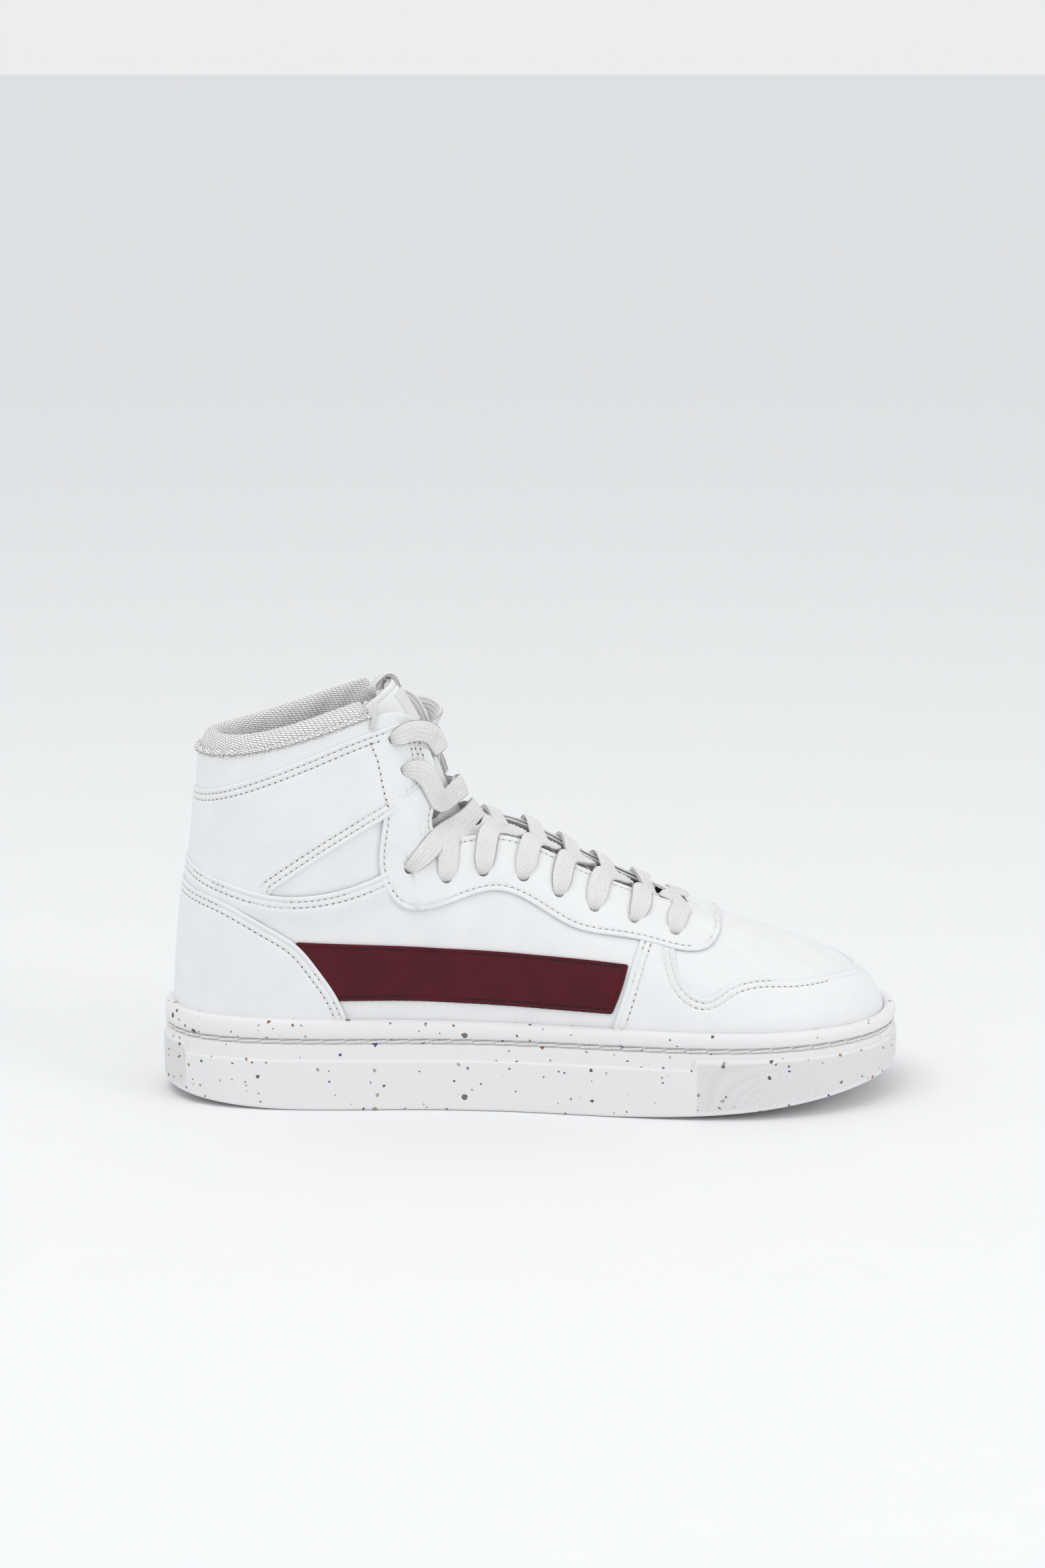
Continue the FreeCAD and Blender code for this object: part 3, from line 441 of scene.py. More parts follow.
SOLE_LATERAL = [(-150, 0), (-139, -26), (-112, -37.5), (-78, -39.5), (-42, -39), (-8, -41.5),
                (26, -47.5), (60, -53), (92, -53), (121, -42.5), (142, -22), (150, 5)]
SOLE_MEDIAL = [(144, 30), (122, 46), (92, 53.5), (60, 52.5), (26, 46), (-8, 39),
               (-42, 35.5), (-78, 36.5), (-112, 36), (-139, 25.5)]
TOP_EDGE = [(0, -132, 0, 141), (0.7, -126, -17, 141.3), (1.5, -108, -30, 144.5), (2.3, -85, -33.5, 151.5),
            (3.0, -66, -30, 158), (3.4, -54, -25.5, 160), (3.7, -46.5, -22.5, 155.5),
            (3.95, -42, -20.5, 144), (4.15, -40, -20, 131), (4.4, -43, -21, 117),
            (4.65, -39.5, -20.5, 107), (5.05, -25, -19, 106), (5.6, -7, -17.5, 104), (6.2, 12, -16, 95),
            (6.9, 30, -14.5, 86), (7.8, 47, -12.5, 78.5), (8.9, 58, -9, 74), (10, 61.5, -4.5, 72.8),
            (11, 62, 0, 72.5)]
HANDLE = [(0, -133.5, 0, 98), (0.7, -127, -19, 99), (1.5, -110, -33, 102), (2.3, -88, -36, 109),
          (3.0, -73, -35, 116), (3.4, -68, -34.5, 120), (3.7, -66, -34, 125), (3.95, -65, -33.5, 126),
          (4.15, -61, -33.5, 116), (4.4, -56, -34, 100), (4.65, -42, -34, 89), (5.05, -21, -33, 89.5),
          (5.6, -3, -33, 91), (6.2, 14, -31, 84), (6.9, 33, -31, 76), (7.8, 66, -30, 67.5),
          (8.9, 93, -24, 61), (10, 104, -11, 57.5), (11, 105, 2, 57)]
LOWER_RISE = [(0, 43), (1.5, 45), (3, 45), (4.5, 38), (5.6, 35), (6.9, 31), (8, 29), (9.5, 27), (11, 27)]
FEATHER_INSET = 9.8
FEATHER_HEIGHT = 15.0
LOWER_LEAN = 3.0


def spline(keys, points, period=None):
    """Smooth curve through points at given keys, closed if it has a period, by cubic pieces."""
    keys = np.asarray(keys, float)
    points = np.asarray(points, float)
    count = len(keys)
    steps = np.diff(np.append(keys, keys[0] + period)) if period else np.diff(keys)
    matrix = np.zeros((count, count))
    right = np.zeros((count, points.shape[1]))
    for i in range(count):
        if not period and i in (0, count - 1):
            matrix[i, i] = 1
            continue
        before = steps[i - 1]
        after = steps[i]
        matrix[i, (i - 1) % count] += before
        matrix[i, i] += 2 * (before + after)
        matrix[i, (i + 1) % count] += after
        right[i] = 6 * ((points[(i + 1) % count] - points[i]) / after - (points[i] - points[i - 1]) / before)
    bends = np.linalg.solve(matrix, right)

    def at(key):
        key = np.asarray(key, float)
        if period:
            key = np.mod(key - keys[0], period) + keys[0]
        i = np.clip(np.searchsorted(keys, key, side="right") - 1, 0, len(steps) - 1)
        j = (i + 1) % count
        step = steps[i][..., None]
        done = (key - keys[i])[..., None]
        left = step - done
        curved = (bends[i] * left ** 3 + bends[j] * done ** 3) / (6 * step)
        first = (points[i] / step - bends[i] * step / 6) * left
        return curved + first + (points[j] / step - bends[j] * step / 6) * done

    return at


def ring(rows):
    mirrored = [(STATIONS - s, x, -y, z) for s, x, y, z in reversed(rows[1:-1])]
    full = rows + mirrored
    return spline([row[0] for row in full], [row[1:] for row in full], STATIONS)


OUTLINE = spline(range(STATIONS), SOLE_LATERAL + SOLE_MEDIAL, STATIONS)
TOP_CURVE = ring(TOP_EDGE)
HANDLE_CURVE = ring(HANDLE)


def outline_point(station, inset):
    step = 0.001
    along = unit(OUTLINE(station + step) - OUTLINE(station - step))
    inwards = np.stack([-along[..., 1], along[..., 0]], -1)
    return OUTLINE(station) + inwards * np.asarray(inset)[..., None]


def lift(x):
    return 0.0014 * np.maximum(-90 - x, 0) ** 2 + 0.0007 * np.maximum(x - 20, 0) ** 2


def rib_point(station, rise):
    station = np.mod(station, STATIONS)
    half = np.minimum(station, STATIONS - station)
    foot = outline_point(station, FEATHER_INSET)
    low = outline_point(station, FEATHER_INSET - LOWER_LEAN)
    floor_height = FEATHER_HEIGHT + lift(foot[..., 0])
    table = np.array(LOWER_RISE, float)
    low_height = floor_height + np.interp(half, table[:, 0], table[:, 1])
    foot = np.concatenate([foot, floor_height[..., None]], -1)
    low = np.concatenate([low, low_height[..., None]], -1)
    rise = rise[..., None]
    rest = 1 - rise
    return (foot * rest ** 3 + low * (3 * rest ** 2 * rise) + HANDLE_CURVE(station) * (3 * rest * rise ** 2)
            + TOP_CURVE(station) * rise ** 3)


def upper_frame(station, rise):
    """Point of the inner face, and the steps along one station and one whole rise."""
    step = 0.001
    along = (rib_point(station + step, rise) - rib_point(station - step, rise)) / (2 * step)
    upward = (rib_point(station, rise) - rib_point(station, rise - step)) / step
    return rib_point(station, rise), along, upward


def upper_point(station, rise, depth):
    station, rise, depth = np.broadcast_arrays(*[np.asarray(v, float) for v in (station, rise, depth)])
    point, along, upward = upper_frame(station, rise)
    return point + unit(np.cross(along, upward)) * depth[..., None]


def at_places(places, depth):
    return upper_point(places[:, 0], places[:, 1], depth)


def upper_normal(station, rise):
    return upper_point(station, rise, 1.0) - upper_point(station, rise, 0.0)


# ---------------------------------------------------------------- edges drawn in the side view

QUARTER_TOP = [(-160, 108), (-150, 104), (-134.5, 96), (-121.5, 92), (-104, 88), (-80, 89), (-59.5, 96),
               (-40, 108)]
ANKLE_TOP = [(-160, 121), (-150, 123), (-134.5, 126), (-110, 134.5), (-87, 144), (-66.5, 152), (-54, 155.5)]
ANKLE_FOOT = [(-20, 146), (-30, 137), (-59, 118), (-83.5, 103), (-103, 89.5)]
HEEL_EDGE = [(-160, 95), (-150, 92), (-137, 87.5), (-126, 85.2), (-104, 74.7), (-93.5, 68), (-84.5, 57),
             (-77.5, 46), (-73.5, 36), (-66, 5)]
EYESTAY_EDGE = [(-58.5, 125), (-58.8, 117.5), (-60, 97), (-50.5, 82.5), (-33, 83.5), (-12, 88.5), (4, 81.5),
                (18.5, 73.5), (33, 70.5), (48, 67.5), (63.5, 64), (71, 65), (76, 70), (78, 76), (79, 90)]
TOE_REAR = [(52, 90), (45, 72), (43, 67.5), (38, 52), (22, 5)]
TOE_VAMP_EDGE = [(57, 80), (57, 68), (58, 59), (63, 50.3), (69.5, 47.6), (76.5, 51), (83, 53.5), (105, 52.8),
                 (127, 50.5), (137, 47), (160, 40)]
STRIPE_TOP = [(-94.6, 68.8), (-60, 67.2), (-10, 64.6), (20, 62.2), (38.8, 60)]
STRIPE_FRONT = [(38.8, 60), (36.4, 51.2), (32.4, 40.9)]
STRIPE_LOW = [(32.4, 40.9), (-10, 43), (-50, 44.4), (-78.4, 44.4)]
STRIPE_REAR = [(-78.4, 44.4), (-85, 55.5), (-94.6, 68.8)]

EYELETS = [(7.59, 0.723), (7.06, 0.748), (6.48, 0.745), (5.99, 0.753), (5.58, 0.785),
           (5.12, 0.807), (4.74, 0.792), (4.10, 0.605), (3.82, 0.85), (3.47, 0.917)]
EYELET_RADIUS = 2.1
EYELET_REACH = 10            # how far along its axis an eyelet cuts
FAR_AWAY = 1e9


def on_side(side, station):
    return station if side == "lateral" else STATIONS - station


def smooth_line(points, step=1.0):
    """Even points along a smooth line through the given ones."""
    points = np.asarray(points, float)
    if len(points) == 2:
        return points
    reach = reach_of(points)
    return spline(reach, points)(np.arange(0, reach[-1], step))


def chain_distance(points, line):
    """Distance in the side view from points to a chain of straight segments."""
    result = np.full(len(points), FAR_AWAY)
    for a, b in zip(line, line[1:]):
        edge = b - a
        t = np.clip(((points - a) @ edge) / max(edge @ edge, 1e-9), 0, 1)
        result = np.minimum(result, np.linalg.norm(points - a - t[:, None] * edge, axis=1))
    return result


def line_distance(points, line):
    """Distance in the side view to an open line, which is drawn smoothly."""
    return chain_distance(points, smooth_line(line))


def signed_distance(points, loop):
    """Distance in the side view to a closed loop, positive inside it."""
    closed = np.append(loop, loop[:1], axis=0)
    inside = np.zeros(len(points), bool)
    for a, b in zip(closed, closed[1:]):
        if a[1] != b[1]:
            crosses = (a[1] > points[:, 1]) != (b[1] > points[:, 1])
            slope = (b[0] - a[0]) * (points[:, 1] - a[1]) / (b[1] - a[1])
            inside ^= crosses & (points[:, 0] < slope + a[0])
    distance = chain_distance(points, closed)
    return np.where(inside, distance, -distance)


def loop_of(*runs):
    return np.concatenate([smooth_line(run) for run in runs])


def rim_height(x):
    return 36.0 - 0.0125 * x


EYELET_PLACES = [(on_side(side, s), r) for side in ("lateral", "medial") for s, r in EYELETS]
EYELET_POINTS = [upper_point(s, r, 0.0) for s, r in EYELET_PLACES]
EYELET_AXES = [upper_normal(s, r) for s, r in EYELET_PLACES]


def eyelet_clearance(points):
    """Distance to the edge of the nearest eyelet, negative in the hole."""
    nearest = np.full(points.shape[:-1], FAR_AWAY)
    for centre, axis in zip(EYELET_POINTS, EYELET_AXES):
        offset = points - centre
        deep = offset @ axis
        offset = offset - deep[..., None] * axis
        away = np.where(np.abs(deep) < EYELET_REACH, np.linalg.norm(offset, axis=-1), FAR_AWAY)
        nearest = np.minimum(nearest, away - EYELET_RADIUS)
    return nearest


# ---------------------------------------------------------------- panels of the upper

STATION_SCALE = 27.0          # about how many millimetres one station and one whole rise are
RISE_SCALE = 130.0
STATION_GRID = 0.025          # steps of the grid that a panel's outline is found on
RISE_GRID = 0.0065
UNDER_RIM = 4.5               # how far the upper runs down inside the sole
EDGE_STEP = 1.1
INSIDE_STEP = 2.2
EDGE_ROUND = 0.45
CHANNEL_DEPTH = 0.5
CHANNEL_WIDTH = 0.5
PUFF = 0.18                   # swell between the edge and the first row of stitches
NO_EDGE = 99.0                # distance to a stitched edge where a panel has none
RINGS_PLAIN = [0.15, 0.45, 1.0, 2.0, 3.4]
RINGS_STITCHED = [0.15, 0.45, 0.9, 1.3, 1.65, 2.0, 2.35, 2.8, 3.4, 3.9, 4.25, 4.6, 4.95, 5.5, 6.5]
TOP_RIM = [(0, 999), (1, 999)]        # stands for the top edge of the upper


def contours(field, stations, rises, within=None):
    """Lines where a field on a grid crosses zero, each a list of places in order."""
    ids = {}
    places = []
    links = {}

    def crossing(a, b):
        key = (min(a, b), max(a, b))
        if key not in ids:
            t = field[a] / (field[a] - field[b])
            ids[key] = len(places)
            places.append((stations[a[0]] + (stations[b[0]] - stations[a[0]]) * t,
                           rises[a[1]] + (rises[b[1]] - rises[a[1]]) * t))
        return ids[key]

    sign = field > 0
    mixed = sign[:-1, :-1] ^ sign[1:, :-1] | sign[:-1, :-1] ^ sign[:-1, 1:] | sign[:-1, :-1] ^ sign[1:, 1:]
    if within is not None:
        mixed &= within[:-1, :-1] & within[1:, :-1] & within[:-1, 1:] & within[1:, 1:]
    for i, j in np.argwhere(mixed):
        corners = [(i, j), (i + 1, j), (i + 1, j + 1), (i, j + 1)]
        cuts = []
        for a, b in zip(corners, corners[1:] + corners[:1]):
            if sign[a] != sign[b]:
                cuts.append(crossing(a, b))
        for a, b in zip(cuts[::2], cuts[1::2]):
            links.setdefault(a, []).append(b)
            links.setdefault(b, []).append(a)
    lines = []
    left = set(links)
    ends = [p for p in links if len(links[p]) == 1]
    for first in ends + list(links):
        if first not in left:
            continue
        line = [first]
        left.discard(first)
        while True:
            following = [p for p in links[line[-1]] if p in left]
            if not following:
                break
            line.append(following[0])
            left.discard(following[0])
        closed = len(line) > 2 and line[0] in links[line[-1]]
        lines.append(([places[p] for p in line], closed))
    return lines


class Panel:
    """One flat-cut piece of leather on the upper."""

    def __init__(self, name, stations, inside, rises=(0.02, 1.0), top=True, holes=True):
        self.name = name
        self.stations = np.arange(stations[0], stations[1] + STATION_GRID / 2, STATION_GRID)
        self.rises = np.arange(rises[0], rises[1] + 0.02, RISE_GRID)
        s, r = np.meshgrid(self.stations, self.rises, indexing="ij")
        point, along, upward = upper_frame(s, r)
        self.points = point + unit(np.cross(along, upward)) * LEATHER_DEPTH
        field = inside(self.points)
        if top:
            field = np.minimum(field, (1.0 - r) * RISE_SCALE)
        field = np.minimum(field, self.points[..., 2] - rim_height(self.points[..., 0]) + UNDER_RIM)
        ends = np.minimum(s - self.stations[0], self.stations[-1] - s)
        field = np.minimum(field, ends * STATION_SCALE - 0.02)
        if holes:
            field = np.minimum(field, eyelet_clearance(self.points))
        field[np.abs(field) < 1e-4] = 1e-4
        self.field = field
        self.lines = [line for line in contours(field, self.stations, self.rises) if len(line[0]) > 5]
        self.rows = []

    def near_edge(self, places):
        """For each place: distance to the whole edge and to its stitched part."""
        points = at_places(places, LEATHER_DEPTH)
        plain = np.array([self.edge_tree.find(p)[2] for p in points])
        if self.stitched_tree is None:
            return plain, np.full(len(points), NO_EDGE)
        return plain, np.array([self.stitched_tree.find(p)[2] for p in points])

    def field_at(self, places):
        s, r = (np.clip((places[:, k] - grid[0]) / (grid[1] - grid[0]), 0, len(grid) - 1.001)
                for k, grid in enumerate((self.stations, self.rises)))
        i = s.astype(int)
        j = r.astype(int)
        a = s - i
        b = r - j
        f = self.field
        return ((1 - a) * (1 - b) * f[i, j] + a * (1 - b) * f[i + 1, j]
                + (1 - a) * b * f[i, j + 1] + a * b * f[i + 1, j + 1])

    def find_edges(self, stitched):
        """Even points round each boundary, and which of them lie along a stitched edge."""
        self.loops = []
        for places, closed in self.lines:
            places = np.array(places)
            if closed:
                places = np.append(places, places[:1], axis=0)
            reach = reach_of(at_places(places, LEATHER_DEPTH))
            count = max(8, int(reach[-1] / EDGE_STEP))
            self.loops.append(read_at(np.linspace(0, reach[-1], count + 1)[:-1], reach, places))
        places = np.concatenate(self.loops)
        points = at_places(places, LEATHER_DEPTH)
        self.edge_tree = tree_of(dense(self.loops))
        self.stitched_tree = None
        if stitched:
            flat = side_view(points)
            near = np.min([line_distance(flat, line) for line in stitched], axis=0) < 0.8
            near &= (1 - places[:, 1]) * RISE_SCALE > 0.6
            if any(line is TOP_RIM for line in stitched):
                near |= (1 - places[:, 1]) * RISE_SCALE < 0.6
            if near.any():
                self.stitched_tree = tree_of(points[near])
        return places

    def depth_at(self, places, edge, stitched, rows):
        """Outer face: rounded at the edge, puffed beside the stitches and pulled in along them."""
        points = at_places(places, LEATHER_DEPTH)
        depth = self.outer(points, places)
        rounding = np.clip(EDGE_ROUND - edge, 0, EDGE_ROUND)
        depth = depth - (EDGE_ROUND - np.sqrt(EDGE_ROUND ** 2 - rounding ** 2))
        for row in rows:
            depth = depth - CHANNEL_DEPTH * np.exp(-((stitched - row) / CHANNEL_WIDTH) ** 2)
        if rows:
            depth = depth + PUFF * np.exp(-((stitched - rows[0] / 2) / 0.8) ** 2)
        return depth

    def ring_places(self, edge_places, rings):
        """Places on rings inside each boundary, at given distances from it."""
        point, along, upward = upper_frame(edge_places[:, 0], edge_places[:, 1])
        normal = unit(np.cross(along, upward))
        offset = 0
        inwards = np.zeros_like(point)
        for loop in self.loops:
            part = slice(offset, offset + len(loop))
            tangent = unit(np.roll(point[part], -1, axis=0) - np.roll(point[part], 1, axis=0))
            inwards[part] = np.cross(normal[part], tangent)
            offset += len(loop)
        steps = self.steps_for(along, upward, inwards)
        probe = self.field_at(edge_places + steps * 0.5) - self.field_at(edge_places - steps * 0.5)
        steps = steps * np.where(probe < 0, -1, 1)[:, None]
        result = []
        for distance in rings:
            moved = edge_places + steps * distance
            real, _ = self.near_edge(moved)
            result.append(moved[(self.field_at(moved) > 0) & (real > 0.8 * distance)])
        return result

    def inner_places(self, last_ring):
        """Even places further inside than the last ring."""
        s, r = np.meshgrid(np.arange(self.stations[0], self.stations[-1], INSIDE_STEP / STATION_SCALE),
                           np.arange(self.rises[0], self.rises[-1], INSIDE_STEP / RISE_SCALE), indexing="ij")
        inner = np.stack([s.ravel(), r.ravel()], -1)
        inner = inner[self.field_at(inner) > last_ring * 0.5]
        real, _ = self.near_edge(inner)
        return inner[real > last_ring + 1.0]

    def triangulate(self, places):
        """Places and triangles that fill the outline, whose points come first in the places."""
        edges = []
        offset = 0
        for loop in self.loops:
            count = len(loop)
            edges += [(offset + i, offset + (i + 1) % count) for i in range(count)]
            offset += count
        scale = np.array([STATION_SCALE, RISE_SCALE])
        made = delaunay_2d_cdt([Vector(p) for p in places * scale], edges, [], 0, 1e-5)
        places = np.array([tuple(v) for v in made[0]]) / scale
        triangles = np.array([f for f in made[2] if len(f) == 3])
        triangles = triangles[self.field_at(places[triangles].mean(axis=1)) > 0]
        used = np.unique(triangles)
        renumber = np.full(len(places), -1)
        renumber[used] = np.arange(len(used))
        return places[used], renumber[triangles]

    def build(self, outer, stitched=(), rows=(), thickness=1.0):
        """Solid mesh of the panel, and the stitch rows as lists of places."""
        self.outer = outer
        edge_places = self.find_edges(stitched)
        rings = RINGS_STITCHED if rows else RINGS_PLAIN
        places = np.concatenate([edge_places] + self.ring_places(edge_places, rings)
                                + [self.inner_places(rings[-1])])
        places, triangles = self.triangulate(places)
        edge, near = self.near_edge(places)
        outside = at_places(places, self.depth_at(places, edge, near, rows))
        depth = outer(at_places(places, LEATHER_DEPTH), places) - thickness
        inside = at_places(places, depth)
        count = len(places)
        pairs = np.sort(np.concatenate([triangles[:, pair] for pair in ([0, 1], [1, 2], [2, 0])]), axis=1)
        keys, times = np.unique(pairs[:, 0] * count + pairs[:, 1], return_counts=True)
        rim = set(keys[times == 1].tolist())
        # triangles turn the way the outward normal asks
        a, b, c = (outside[triangles[:, k]] for k in range(3))
        out = upper_normal(places[triangles[:, 0], 0], places[triangles[:, 0], 1])
        wrong = np.einsum("ij,ij->i", np.cross(b - a, c - a), out) < 0
        triangles[wrong] = triangles[wrong][:, ::-1]
        triangles = triangles.tolist()
        faces = [tuple(t) for t in triangles]
        faces += [(t[2] + count, t[1] + count, t[0] + count) for t in triangles]
        for t in triangles:
            for a, b in ((t[0], t[1]), (t[1], t[2]), (t[2], t[0])):
                if min(a, b) * count + max(a, b) in rim:
                    faces.append((b, a, a + count, b + count))
        obj = mesh_object(self.name, np.concatenate([outside, inside]), faces)
        for row in rows:
            self.add_row(row, rows)
        return obj

    @staticmethod
    def steps_for(along, upward, direction):
        """Change of station and rise that moves one millimetre in a direction on the surface."""
        aa = np.einsum("ij,ij->i", along, along)
        bb = np.einsum("ij,ij->i", upward, upward)
        ab = np.einsum("ij,ij->i", along, upward)
        da = np.einsum("ij,ij->i", along, direction)
        db = np.einsum("ij,ij->i", upward, direction)
        det = aa * bb - ab * ab
        return np.stack([(da * bb - db * ab) / det, (db * aa - da * ab) / det], -1)

    def add_row(self, row, rows):
        near = self.field > row * 0.55
        band = near & (self.field < row * 3 + 6)
        distance = np.full(self.field.shape, -99.0)
        spots = np.argwhere(band)
        if not len(spots) or self.stitched_tree is None:
            return
        distance[band] = [self.stitched_tree.find(self.points[i, j])[2] - row for i, j in spots]
        distance[np.abs(distance) < 1e-4] = 1e-4
        for places, _ in contours(distance, self.stations, self.rises, band):
            places = np.array(places)
            if len(places) < 8:
                continue
            edge, stitched = self.near_edge(places)
            depth = self.depth_at(places, edge, stitched, rows)
            self.rows.append((places, depth))


def dense(loops, step=0.3):
    """Closely spaced points along closed loops of places."""
    result = []
    for loop in loops:
        points = at_places(loop, LEATHER_DEPTH)
        closed = np.append(points, points[:1], axis=0)
        reach = reach_of(closed)
        result.append(read_at(np.arange(0, reach[-1], step), reach, closed))
    return np.concatenate(result)


def tree_of(points):
    tree = KDTree(len(points))
    for i, p in enumerate(points):
        tree.insert(p, i)
    tree.balance()
    return tree



# ---------------------------------------------------------------- stitches

STITCH_PITCH = 2.6
STITCH_LENGTH = 1.9
THREAD_RADIUS = 0.30
STITCH_STAND = THREAD_RADIUS * 0.75 - 0.10     # height of a stitch's middle above the leather
HOLE_STAND = 0.09
STITCH_PROFILE = ((-1, 0.25), (-0.8, 0.75), (-0.3, 1), (0.3, 1), (0.8, 0.75), (1, 0.25))
STITCH_SIDES = 6
HOLE_SIDES = 8
HOLE_SIZE = (0.48, 0.34)


def stitch_shape():
    """Small capsule along X, lying on the XY plane."""
    points = []
    for x, r in STITCH_PROFILE:
        for k in range(STITCH_SIDES):
            angle = 2 * math.pi * k / STITCH_SIDES
            points.append((x * STITCH_LENGTH / 2, math.cos(angle) * r * THREAD_RADIUS,
                           math.sin(angle) * r * THREAD_RADIUS * 0.8 - (1 - r) * 0.12))
    faces = grid_faces(len(STITCH_PROFILE), STITCH_SIDES, close_columns=True)
    return np.array(points), [f[::-1] for f in faces] + [f[::-1] for f in end_caps(STITCH_SIDES, len(points))]


def hole_shape():
    """Shallow dimple with its open side up, coloured dark as painted shade for the inside of a needle hole.
    """
    points = [(0, 0, -0.05)]
    for k in range(HOLE_SIDES):
        angle = 2 * math.pi * k / HOLE_SIDES
        points.append((math.cos(angle) * HOLE_SIZE[0], math.sin(angle) * HOLE_SIZE[1], 0.05))
    return np.array(points), [(0, 1 + k, 1 + (k + 1) % HOLE_SIDES) for k in range(HOLE_SIDES)]


def placed(shapes, spots):
    """One mesh of a shape repeated at spots of centre, direction and normal."""
    base, base_faces = shapes
    points = []
    faces = []
    for centre, direction, normal in spots:
        side = np.cross(normal, direction)
        frame_of = np.stack([direction, side, normal])
        offset = len(points) * len(base)
        points.append(base @ frame_of + centre)
        faces += [tuple(i + offset for i in f) for f in base_faces]
    return np.concatenate(points), faces


def laid_flat(direction, normal):
    return unit(direction - (direction @ normal) * normal)


def stitch_spots(rows):
    """Even stitches, and the needle holes between them, along rows of places and depths."""
    stitches = []
    holes = []
    for places, depth in rows:
        points = at_places(places, depth)
        reach = reach_of(points)
        count = int((reach[-1] - 0.6) / STITCH_PITCH)
        for k in range(count + 1):
            for kind, at, stand in ((stitches, 0.5, STITCH_STAND), (holes, 0.0, HOLE_STAND)):
                d = (k + at) * STITCH_PITCH + 0.3
                if d > reach[-1] - 0.3:
                    continue
                here = read_at(d, reach, points)
                along = read_at(d + 0.5, reach, points) - read_at(d - 0.5, reach, points)
                normal = upper_normal(*read_at(d, reach, places))
                kind.append((here + normal * stand, laid_flat(along, normal), normal))
    return stitches, holes


def side_view(points):
    return points[..., [0, 2]].reshape(-1, 2)


def inside_loop(loop):
    def field(points):
        return signed_distance(side_view(points), loop).reshape(points.shape[:-1])
    return field


# ---------------------------------------------------------------- the panels of the upper

def even_depth(value):
    def outer(points, places):
        return np.full(len(places), value)
    return outer


def ankle_depth(points, places):
    """The front foot of the ankle panel lies over the eyestay."""
    near_foot = smooth_step(line_distance(side_view(points), ANKLE_FOOT), 16, 6)
    front = smooth_step(points[:, 0], -66, -58) * near_foot
    return 3.7 + 1.2 * front


def quarter_depth(points, places):
    return 3.6 + 0.9 * smooth_step(line_distance(side_view(points), QUARTER_TOP), 12, 6)


def eyestay_depth(points, places):
    return 3.9 + 1.1 * smooth_step(points[:, 0], -64, -52)


def heel_depth(points, places):
    return 4.6 + 0.5 * smooth_step(points[:, 2], 96, 84)


def toe_depth(points, places):
    return 4.5 + 0.3 * smooth_step(points[:, 2], 46, 36)


QUARTER_LOOP = loop_of(QUARTER_TOP, [(-40, 108), (-20, 130)], [(52, 130), (52, 84)], [(51, 80), (49, 5)],
                       [(-165, 5), (-165, 110)])
COVER_LOOP = loop_of([(x, z - 2) for x, z in QUARTER_TOP], [(-28, 112), (-28, 200)],
                     [(-170, 200), (-170, 106)])
ANKLE_LOOP = loop_of(ANKLE_TOP, [(-52, 155.6), (-44.5, 153), (-38.5, 148.5), (-34, 143), (-30, 137)],
                     ANKLE_FOOT[1:], [(-104, 87), (-121.5, 90.5)], [(-134.5, 94.5), (-150, 102.5)],
                     [(-162, 107), (-162, 121)])
HEEL_LOOP = loop_of(HEEL_EDGE, [(-66, 4), (-165, 4)], [(-166, 60), (-166, 96)])
TOE_LOOP = loop_of(TOE_REAR, [(22, 4), (170, 4)], [(170, 30), (165, 38)], TOE_VAMP_EDGE[::-1])
EYESTAY_LOOP = loop_of(EYESTAY_EDGE, [(79, 92), (78, 150)], [(-20, 150), (-31, 139)],
                       [(x + 3, z + 4.5) for x, z in ANKLE_FOOT[1:3]])
STRIPE_LOOP = loop_of(STRIPE_TOP, STRIPE_FRONT, STRIPE_LOW, STRIPE_REAR)
VAMP_LOOP = loop_of([(54, 100), (54, 40)], [(47, 36), (44, 4)], [(170, 4), (170, 100)])

TWO_ROWS = (2.0, 4.5)         # distances of the stitches from the edge
SIDES = ("lateral", "medial")


def panel(name, stations, loop, outer, stitched, rows, nodes, slot="white_leather", material=WHITE,
          thickness=1.0, **options):
    """Adds one panel to the scene and returns its rows of stitches."""
    made = Panel(name, stations, inside_loop(loop), **options)
    piece(made.build(outer, stitched, rows, thickness), "shoe", slot, material, *nodes)
    return made.rows


def upper_panels():
    rows = []
    dark_rows = []
    rows += panel("ankle_cover_leather", (-5.25, 5.25), COVER_LOOP, even_depth(2.8), (), (), ["ankle_cover"])
    rows += panel("vamp_leather", (6.6, 15.4), VAMP_LOOP, even_depth(3.6), (), (), ["vamp"])
    rows += panel("ankle_panel_leather", (-4.7, 4.7), ANKLE_LOOP, ankle_depth, (ANKLE_TOP, ANKLE_FOOT),
                  TWO_ROWS, ["ankle_panel"])
    rows += panel("heel_leather", (-4.6, 4.6), HEEL_LOOP, heel_depth, (HEEL_EDGE[:-1],), TWO_ROWS,
                  ["heel_overlay"])
    rows += panel("toe_leather", (5.6, 16.4), TOE_LOOP, toe_depth, (TOE_REAR, TOE_VAMP_EDGE), TWO_ROWS,
                  ["toe_overlay"])
    rows += panel("eyestay_leather", (3.1, 18.9), EYESTAY_LOOP, eyestay_depth, (EYESTAY_EDGE, TOP_RIM),
                  (2.0,), ["eyestay"])
    for side in SIDES:
        stations = sorted((on_side(side, -0.02), on_side(side, 8.8)))
        rows += panel("quarter_leather_" + side, stations, QUARTER_LOOP, quarter_depth, (QUARTER_TOP,),
                      TWO_ROWS, ["quarter_" + side])
    for side in SIDES:
        stations = sorted((on_side(side, 1.5), on_side(side, 7.8)))
        dark_rows += panel("stripe_leather_" + side, stations, STRIPE_LOOP, even_depth(4.45),
                           (STRIPE_TOP, STRIPE_LOW, STRIPE_FRONT), (1.6,), ["side_stripe_" + side],
                           "maroon_leather", MAROON, 0.85, top=False, holes=False, rises=(0.05, 0.8))
    return rows, dark_rows


